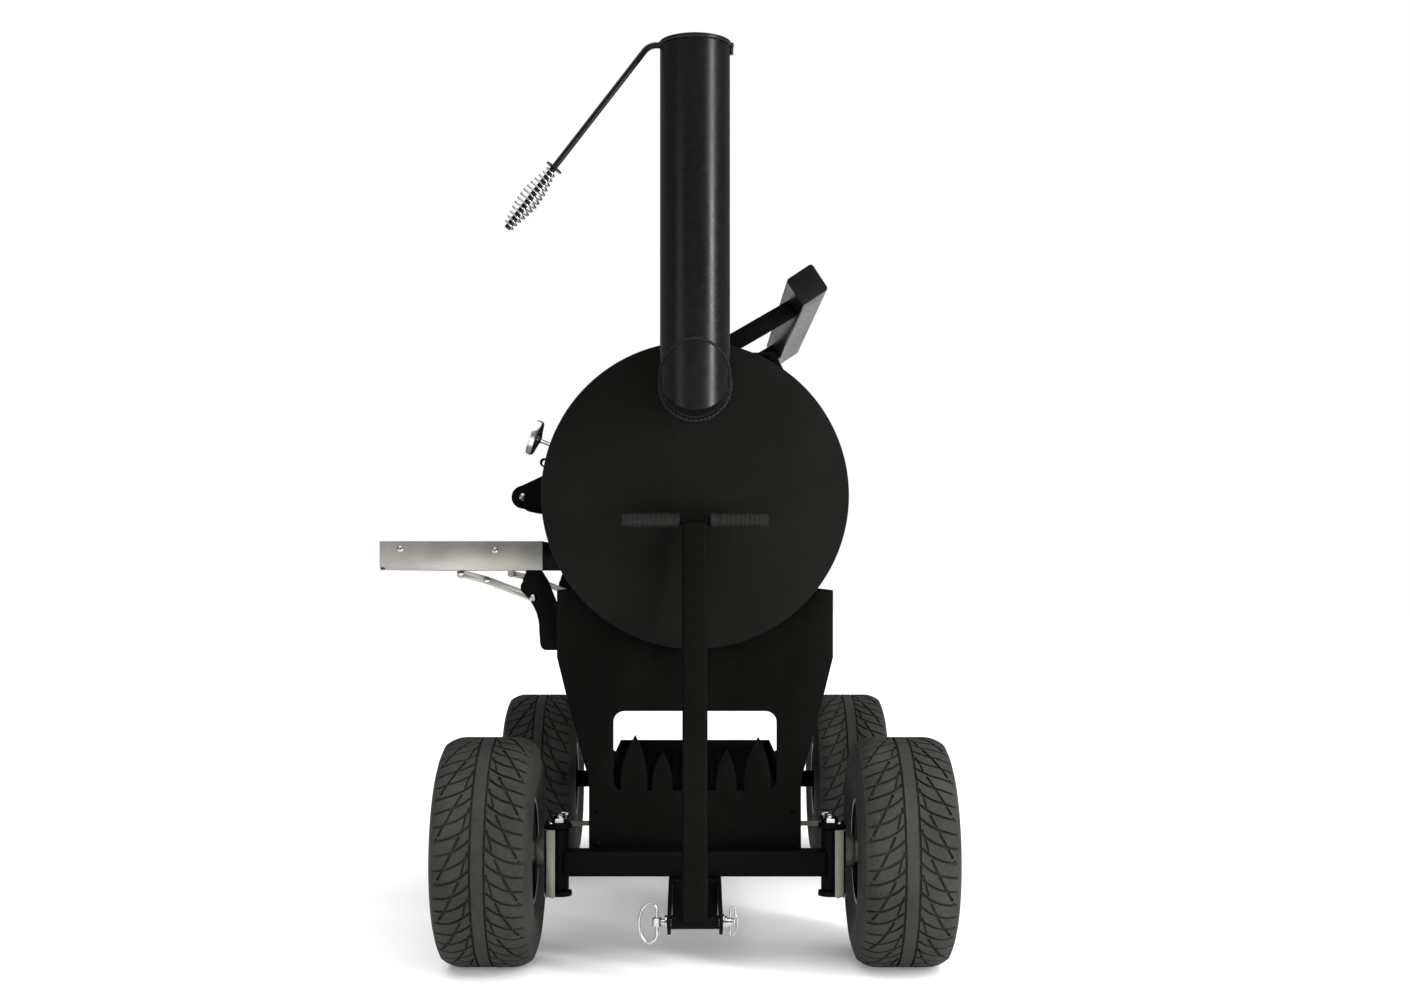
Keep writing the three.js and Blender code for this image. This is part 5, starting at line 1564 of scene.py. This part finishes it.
@dataclass
class RunningGear(SubAssembly):
    """Axle beams, steering knuckles and the tie rod."""

    kingpin: float = 268.0
    axle_y: float = 7.0
    low_z: float = 137.0
    high_z: float = 271.0
    axle_z: float = 225.0

    def build(self) -> None:
        """Builds the running gear."""
        bench = self.bench
        self.dress(bench.copy("front_axle_beam", 1.6), "steer_beam", FINISH.paint, nodes=["front_axle_beam"])
        self.dress(bench.copy("rear_axle_beam", 1.6), "fixed_beam", FINISH.paint, nodes=["rear_axle_beam"])
        self.dress(bench.copy("tie_rod", 0.6), "steer_link", FINISH.zinc, "tie_rod", ["tie_rod"])
        for side, name in ((-1, "left"), (1, "right")):
            self.knuckle(side, name)

    def knuckle(self, side: int, name: str) -> None:
        """One steering knuckle: plated channel, spindle, painted levers, pin and nuts.

        Args:
            side: -1 for the left, 1 for the right.
            name: the side's word.
        """
        bench = self.bench
        body = f"knuckle_{name}"
        x, y = side * self.kingpin, self.axle_y

        def span(a: float, b: float) -> Pair:
            """Two distances from the middle as limits on this side."""
            return min(side * a, side * b), max(side * a, side * b)

        low, high = self.low_z, self.high_z
        web = bench.block(span(291, 297), (y - 36, y + 36), (low + 1, high), 1)
        flanges = []
        for start in (y - 36, y + 30):
            outer, inner = side * 297, side * 275
            corner = 14 * side
            outline = [
                (inner, high), (inner, low + 3), (inner + 3 * side, low + 0.5), (outer - corner, low + 0.5),
                (outer - corner * 0.3, low + 4), (outer, low + 14), (outer, high)
            ]
            flanges.append(bench.bevel(bench.plate(outline, Axis.Y, start, 6), 0.9))
        spindle = bench.bar(Axis.X, 12, span(291, 461), y, self.axle_z, 40, 2)
        collar = bench.lathe(
            [
                (11, 296), (32, 296), (32, 308), (29, 314), (22, 316), (22, 351), (20, 352.5), (11, 352.5),
                (11, 296)
            ],
            Axis.X, (0, y, self.axle_z), 48,
        )
        if side < 0:
            middle = bench.datum.at(0, y, self.axle_z)
            collar.data.transform(
                Matrix.Translation(middle) @ Matrix.Rotation(math.pi, 4, "Z") @ Matrix.Translation(-middle)
            )
        self.dress(
            bench.join(web, *flanges, spindle, collar), f"knuckle_plate_{name}", FINISH.zinc, body, [body]
        )

        tie_y = y + 100
        levers = []
        for z, far in ((high, tie_y), (low, y)):
            levers.append(bench.bevel(bench.plate(self.lever_outline(side, x, y, far), Axis.Z, z, 10), 1.2))
        pin = bench.bar(Axis.Z, 10, (low + 2, high + 22), x, y, 32, 1.5)
        tie_pin = bench.bar(Axis.Z, 5, (257, high + 12), x, tie_y, 20, 1)
        self.dress(
            bench.join(levers[0], levers[1], pin, tie_pin), f"knuckle_levers_{name}", FINISH.paint, body
        )

        nut = bench.hexagon(Axis.Z, 32, (high + 10, high + 19), x, y)
        crown = bench.pipe(Axis.Z, (13, 10), (high + 18, high + 25), x, y, 32, 0.8)
        for i in range(3):
            slot = bench.block((-20, 20), (-1.8, 1.8), (high + 20.5, high + 30), 0.1)
            turn = Matrix.Rotation(i * math.pi / 3, 4, "Z")
            bench.home(slot, Matrix.Translation(bench.datum.at(x, y, 0)) @ turn)
            bench.cut(crown, slot)
        second = bench.hexagon(Axis.Z, 17, (high + 10, high + 17), x, tie_y)
        small = bench.dome(Vector((0, 0, 1)), 7, 4, (side * 286, y - 12, high + 10), 0)
        self.dress(bench.join(nut, crown, second, small), f"knuckle_nuts_{name}", FINISH.chrome, body)

    @staticmethod
    def lever_outline(side: int, x: float, y: float, far: float) -> list[Pair]:
        """A lever plate's outline seen from above.

        Args:
            side: -1 or 1.
            x: the kingpin's place.
            y: the kingpin's place.
            far: where its arm ends; the kingpin's own place for a plate without an arm.

        Returns:
            The outline's corners.
        """
        edge = side * 297.0
        line = [
            (edge, y - 24),
            *[
                (x - side * 24 * math.sin(t), y - 24 * math.cos(t))
                for t in (i * math.pi / 16 for i in range(9))
            ]
        ]
        if far > y:
            line += [
                (x - side * 13, y + 24), (x - side * 13, far),
                *[
                    (x - side * 13 * math.cos(t), far + 13 * math.sin(t))
                    for t in (i * math.pi / 8 for i in range(1, 8))
                ],
                (x + side * 13, far), (x + side * 13, y + 24)
            ]
        else:
            line += [
                (x - side * 24 * math.cos(t), y + 24 * math.sin(t))
                for t in (i * math.pi / 16 for i in range(1, 9))
            ]
        return [*line, (edge, y + 24)]


# ---------------------------------------------------------------- hitch and tow handle


@dataclass
class Hitch(SubAssembly):
    """The tongue, its pin with ring and clip, and the leaning tow handle."""

    pivot_y: float = -195.0
    pivot_z: float = 125.0
    lean: float = 10.0
    reach: float = 751.0
    side: float = 48.0
    bar_half: float = 144.0
    outer: float = 103.0
    web_y: float = -43.0

    def build(self) -> None:
        """Builds the hitch's pieces."""
        self.dress(self.bench.copy("tongue", 1.2), "tongue_fork_plate", FINISH.paint, "tongue", ["tongue"])
        web = self.bench.bevel(
            self.bench.block((-44.4, 44.4), (self.web_y, self.web_y + 6), (104, 170), 0.01), 1
        )
        self.dress(web, "tongue_web", FINISH.paint, "tongue")
        self.pin()
        self.ring()
        self.clip()
        self.handle()

    def pin(self) -> None:
        """The drop pin with its swivel collar, flange, grooved tip and washers."""
        bench = self.bench
        half = self.outer / 2
        shank = bench.lathe(
            [
                (0, -half - 5.3), (11, -half - 5.3), (13, -half - 4), (13, -half - 1.2), (12, -half - 0.3),
                (8, -half - 0.3), (8, half + 4),
                (8, half + 17), (6.6, half + 18), (6.6, half + 20), (8, half + 21), (7.6, half + 22.6),
                (4.5, half + 24), (0, half + 24.4),
            ],
            Axis.X, (0, self.pivot_y, self.pivot_z), 40,
        )
        collar = bench.pipe(
            Axis.Z, (8.5, 4.6), (self.pivot_z - 8, self.pivot_z + 8), -71, self.pivot_y, 32, 1
        )
        neck = bench.bar(Axis.X, 6, (-64, -half - 4), self.pivot_y, self.pivot_z, 24)
        self.dress(bench.join(shank, collar, neck), "drop_pin", FINISH.chrome, "tongue", ["hitch_pin"])
        washers = [
            bench.pipe(Axis.X, (15, 8.4), (half + 0.4, half + 3.2), self.pivot_y, self.pivot_z, 32, 0.5),
            bench.pipe(Axis.X, (11.5, 8.4), (half + 4.6, half + 8.2), self.pivot_y, self.pivot_z, 32, 0.5),
        ]
        self.dress(bench.join(*washers), "pin_washers", FINISH.chrome, "tongue")

    def ring(self) -> None:
        """The D-shaped pull ring through the collar."""
        at = self.bench.datum.at
        x, z = -71.0, self.pivot_z
        line = [(x, z - 26 + 52 * i / 8) for i in range(9)]
        line += [
            (x - 3, z + 31), (x - 9, z + 34), (x - 17, z + 34), (x - 26, z + 27), (x - 32, z + 15),
            (x - 34, z), (x - 33, z - 14)
        ]
        line += [(x - 29, z - 28), (x - 21, z - 38), (x - 12, z - 40), (x - 4, z - 35)]
        ring = self.bench.loop([at(a, self.pivot_y, b) for a, b in line], 2.9, 3)
        self.bench.modify(ring, "SUBSURF", levels=1, render_levels=1)
        self.dress(ring, "pull_ring", FINISH.chrome, "pin_ring", ["pin_ring"], 80)

    def clip(self) -> None:
        """The thin wire clip through the pin's tip."""
        at = self.bench.datum.at
        x, y, z = self.outer / 2 + 14, self.pivot_y, self.pivot_z
        leg = [at(x, y, z - 24 + 46 * i / 8) for i in range(9)]
        head = [
            at(x + 5 - 5 * math.cos(t), y, z + 22 + 6 * math.sin(t))
            for t in (i * math.pi / 6 for i in range(1, 7))
        ]
        back = [at(x + 9 + 5 * math.sin(t * math.pi), y, z + 16 - 36 * t) for t in (i / 8 for i in range(9))]
        tail = [at(x + 7 - 2 * t, y, z - 22 - 8 * t) for t in (0.3, 0.7, 1.0)]
        self.dress(
            self.bench.tube([*leg, *head, *back, *tail], 1.5, 2), "spring_clip", FINISH.chrome, "tongue",
            ["pin_clip"], 80
        )

    def lean_back(self, obj: bpy.types.Object) -> bpy.types.Object:
        """Leans a piece built upright over the pivot back towards the chamber."""
        pivot = self.bench.datum.at(0, self.pivot_y, self.pivot_z)
        turn = Matrix.Rotation(math.radians(-self.lean), 4, "X")
        obj.data.transform(Matrix.Translation(pivot) @ turn @ Matrix.Translation(-pivot))
        return obj

    def handle(self) -> None:
        """The square shaft with its foot tube, cross bar and two rubber grips."""
        bench = self.bench
        h, y, z = self.side / 2, self.pivot_y, self.pivot_z
        outline = [(a, y + b) for a, b in rounded((-h, h), (-h, h), 6, 5)]
        shaft = bench.bevel(bench.plate(outline, Axis.Z, z, self.reach + 2), 1.5, 2, 50)
        foot_half = self.outer / 2 - 7
        foot = bench.pipe(Axis.X, (13, 8.5), (-foot_half, foot_half), y, z, 40, 1)
        bench.cut(shaft, bench.bar(Axis.X, 8.5, (-60, 60), y, z, 32, 0.1))
        top = z + self.reach + 14
        cross = bench.bar(Axis.X, 9, (-self.bar_half, self.bar_half), y, top, 32, 2)
        cap = bench.block(
            (-h + 2, h - 2), (y - h + 2, y + h - 2), (z + self.reach - 2, z + self.reach + 6), 1.5
        )
        shaft = bench.join(shaft, foot, cross, cap)
        self.dress(self.lean_back(shaft), "tow_shaft", FINISH.paint, "tow_handle", ["tow_handle"])
        for side, name in ((-1, "left"), (1, "right")):
            ribs = []
            for i in range(9):
                d = 52 + i * 9.0
                ribs += [(13.6, d), (14.3, d + 1.4), (14.3, d + 4.4), (13.6, d + 5.8)]
            profile = [
                (9.3, 30), (14.4, 30), (15, 31), (15, 36), (13.6, 38.5), *ribs, (13.8, 137), (13, 141),
                (10.5, 143), (9.3, 143), (9.3, 30)
            ]
            grip = bench.lathe([(r, side * d) for r, d in profile], Axis.X, (0, y, top), 40)
            self.dress(
                self.lean_back(grip), f"rubber_grip_{name}", FINISH.grip, "tow_handle", [f"grip_{name}"]
            )


# ---------------------------------------------------------------- folding shelf


@dataclass
class Shelf(SubAssembly):
    """The stainless shelf with its stays, brackets, screws and rivets."""

    bolt: Pair = (-331.0, 725.0)
    elbow: Pair = (-426.0, 761.0)
    lug: Pair = (-480.0, 775.0)
    near_y: float = 113.0
    far_y: float = 1097.0

    def build(self) -> None:
        """Builds the shelf's pieces."""
        bench = self.bench
        self.sheet()
        facing = Vector((0, -1, 0))
        heads = [bench.dome(facing, 6.5, 2.6, (x, 100, z), 2.2) for x, z in ((-601, 825), (-408, 822))]
        heads += [bench.dome(-facing, 6.5, 2.6, (x, 1110, z), 2.2) for x, z in ((-601, 825), (-408, 822))]
        self.dress(bench.join(*heads), "shelf_screws", FINISH.chrome, "shelf")
        for end, y, out in (("near", self.near_y, 1), ("far", self.far_y, -1)):
            self.dress(
                bench.copy(f"shelf_bracket_{end}", 1.2), f"bracket_{end}", FINISH.paint,
                nodes=[f"shelf_bracket_{end}"]
            )
            self.dress(
                bench.copy(f"stay_lower_{end}", 0.6), f"lower_stay_{end}", FINISH.stainless,
                f"stay_lower_{end}", [f"stay_lower_{end}"]
            )
            self.dress(
                bench.copy(f"stay_upper_{end}", 0.6), f"upper_stay_{end}", FINISH.stainless,
                f"stay_upper_{end}", [f"stay_upper_{end}"]
            )
            aim = Vector((0, -out, 0))
            bolt = bench.dome(aim, 8.5, 4.6, (self.bolt[0], y, self.bolt[1]), 3.2)
            self.dress(bolt, f"bracket_bolt_{end}", FINISH.chrome)
            rivet = bench.dome(aim, 6.5, 3.0, (self.elbow[0], y + out * 6.6, self.elbow[1]))
            self.dress(rivet, f"stay_rivet_{end}", FINISH.chrome, f"stay_lower_{end}")
            lug_rivet = bench.dome(aim, 6.5, 3.0, (self.lug[0], y + out * 11.4, self.lug[1]))
            self.dress(lug_rivet, f"lug_rivet_{end}", FINISH.chrome, "shelf")

    def sheet(self) -> None:
        """The folded sheet with its corner notch, hinge rod and the lugs for the stays."""
        bench = self.bench
        top = bench.block((-643, -311), (100, 1110), (782, 841), 0.01)
        bench.cut(top, bench.block((-641, -313), (102, 1108), (770, 839), 0.01))
        bench.cut(top, bench.block((-650, -632), (95, 104), (770, 788), 0.01))
        bench.bevel(top, 0.8, 3, 50)
        hem = [bench.block((-641, -313), (y, y + 9), (782, 783.5), 0.4) for y in (102, 1099)]
        rod = bench.bar(Axis.Y, 5, (101, 1109), -333, 812, 24, 1)
        lugs = []
        x, z = self.lug
        for base, out in ((self.near_y, 1), (self.far_y, -1)):
            start = base + out * 16.2
            outline = [
                (x - 12, 840), (x - 9, z - 6), (x - 5, z - 9), (x, z - 10), (x + 5, z - 9), (x + 9, z - 6),
                (x + 12, 840)
            ]
            lugs.append(bench.bevel(bench.plate(outline, Axis.Y, min(start, start + out * 4), 4), 0.5))
            lugs.append(bench.bar(Axis.Y, 4, (base + out * 11.4, base + out * 17.2), x, z, 20))
        self.dress(
            bench.join(top, *hem, rod, *lugs), "shelf_sheet", FINISH.stainless, "shelf", ["shelf_top"]
        )


@dataclass
class Grates(SubAssembly):
    """The two grates and the drain, dressed from the frame."""

    def build(self) -> None:
        """Rounds the frame's own bars."""
        bench = self.bench
        self.dress(bench.copy("cooking_grate", 0.9), "cook_grid", FINISH.steel, nodes=["cooking_grate"])
        self.dress(bench.copy("fire_grate", 1.4), "fire_grid", FINISH.steel, nodes=["fire_grate"])
        self.dress(bench.copy("drain_valve", 0.7), "drain_cock", FINISH.steel, nodes=["drain_valve"])
        self.dress(
            bench.copy("drain_lever", 0.7), "drain_handle", FINISH.zinc, "drain_lever", ["drain_lever"]
        )


# ---------------------------------------------------------------- stage


@dataclass
class Studio:
    """The plain pale floor, the soft lights and the camera."""

    datum: Datum
    distance: float = 3365.0
    eye: float = 776.0
    lens: float = 43.40
    shift: Pair = (0.0071, 0.0518)

    def build(self) -> None:
        """Sets the stage."""
        self.floor()
        self.world()
        self.lights()
        self.camera()

    def floor(self) -> None:
        """A large floor with a faint grain."""
        Bench.clear()
        bpy.ops.mesh.primitive_plane_add(size=60.0, location=(0, 0, 0))
        floor = bpy.context.object
        floor.name = "studio_floor"
        g = Graph("studio_floor_paint")
        colour = g.blend(g.noise(3.0, 2.0), (0.86, 0.86, 0.86), (0.9, 0.9, 0.9))
        floor.data.materials.append(g.shade(Base_Color=colour, Roughness=0.9, Specular_IOR_Level=0.1,
            Emission_Color=(1.0, 1.0, 1.0), Emission_Strength=0.16))

    @staticmethod
    def world() -> None:
        """White behind the object, dim grey as a light on it."""
        world = bpy.data.worlds.new("studio_world")
        bpy.context.scene.world = world
        world.use_nodes = True
        tree = world.node_tree
        tree.nodes.clear()
        out = tree.nodes.new("ShaderNodeOutputWorld")
        path = tree.nodes.new("ShaderNodeLightPath")
        mix = tree.nodes.new("ShaderNodeMixShader")
        lit = tree.nodes.new("ShaderNodeBackground")
        seen = tree.nodes.new("ShaderNodeBackground")
        lit.inputs[0].default_value = (0.95, 0.97, 1.0, 1.0)
        lit.inputs[1].default_value = 0.25
        seen.inputs[0].default_value = (1.0, 1.0, 1.0, 1.0)
        seen.inputs[1].default_value = 1.0
        tree.links.new(path.outputs["Is Camera Ray"], mix.inputs[0])
        tree.links.new(lit.outputs[0], mix.inputs[1])
        tree.links.new(seen.outputs[0], mix.inputs[2])
        tree.links.new(mix.outputs[0], out.inputs[0])

    def lights(self) -> None:
        """A wide overhead light, a tall strip on the right and a weak fill on the left."""
        self.sun("overhead", 3.4, math.radians(85), (0.1, 0.0, 0))
        self.area("strip_right", (2300, -1650, 1500), (0.28, 2.6), 120.0)
        self.area("fill_left", (-2600, -2300, 1300), (1.2, 2.2), 12.0)
        for side, name in ((-1, "left"), (1, "right")):
            self.area(
                f"wheel_lamp_{name}", (side * 620, -1250, 420), (0.5, 0.5), 5.0, (side * 440, 150, 250)
            )

    @staticmethod
    def sun(name: str, strength: float, angle: float, turn: Triple) -> None:
        """Adds a sun lamp."""
        bpy.ops.object.light_add(type="SUN", location=(0, 0, 5), rotation=turn)
        lamp = bpy.context.object
        lamp.name = name
        lamp.data.energy = strength
        lamp.data.angle = angle

    def area(
        self, name: str, place: Triple, size: Pair, power: float, target: Triple = (0, 300, 900)
    ) -> None:
        """Adds an area lamp at a place in millimetres, aimed at a target."""
        spot = self.datum.at(*place)
        aim = self.datum.at(*target) - spot
        bpy.ops.object.light_add(
            type="AREA", location=spot, rotation=aim.to_track_quat("-Z", "Y").to_euler()
        )
        lamp = bpy.context.object
        lamp.name = name
        lamp.data.shape = "RECTANGLE"
        lamp.data.size, lamp.data.size_y = size
        lamp.data.energy = power

    def camera(self) -> None:
        """The level camera in front of the stack end."""
        bpy.ops.object.camera_add(
            location=self.datum.at(0, -self.distance, self.eye), rotation=(math.pi / 2, 0, 0)
        )
        camera = bpy.context.object
        camera.name = "front_camera"
        camera.data.lens = self.lens
        camera.data.sensor_width = 36.0
        camera.data.shift_x, camera.data.shift_y = self.shift
        camera.data.dof.use_dof = False
        bpy.context.scene.camera = camera


def main() -> None:
    """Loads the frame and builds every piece."""
    logging.basicConfig(level=logging.INFO, format="%(name)s: %(message)s")
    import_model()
    datum = Datum.from_frame()
    bench = Bench(datum)
    for group in (Chamber, Stack, Door, Firebox, Cart, Wheels, RunningGear, Hitch, Shelf, Grates):
        LOG.info("building %s", group.__name__)
        group(bench).build()
    Studio(datum).build()
    scene = bpy.context.scene
    scene.view_settings.view_transform = "Standard"
    scene.view_settings.look = "None"


if __name__ == "__main__":
    main()
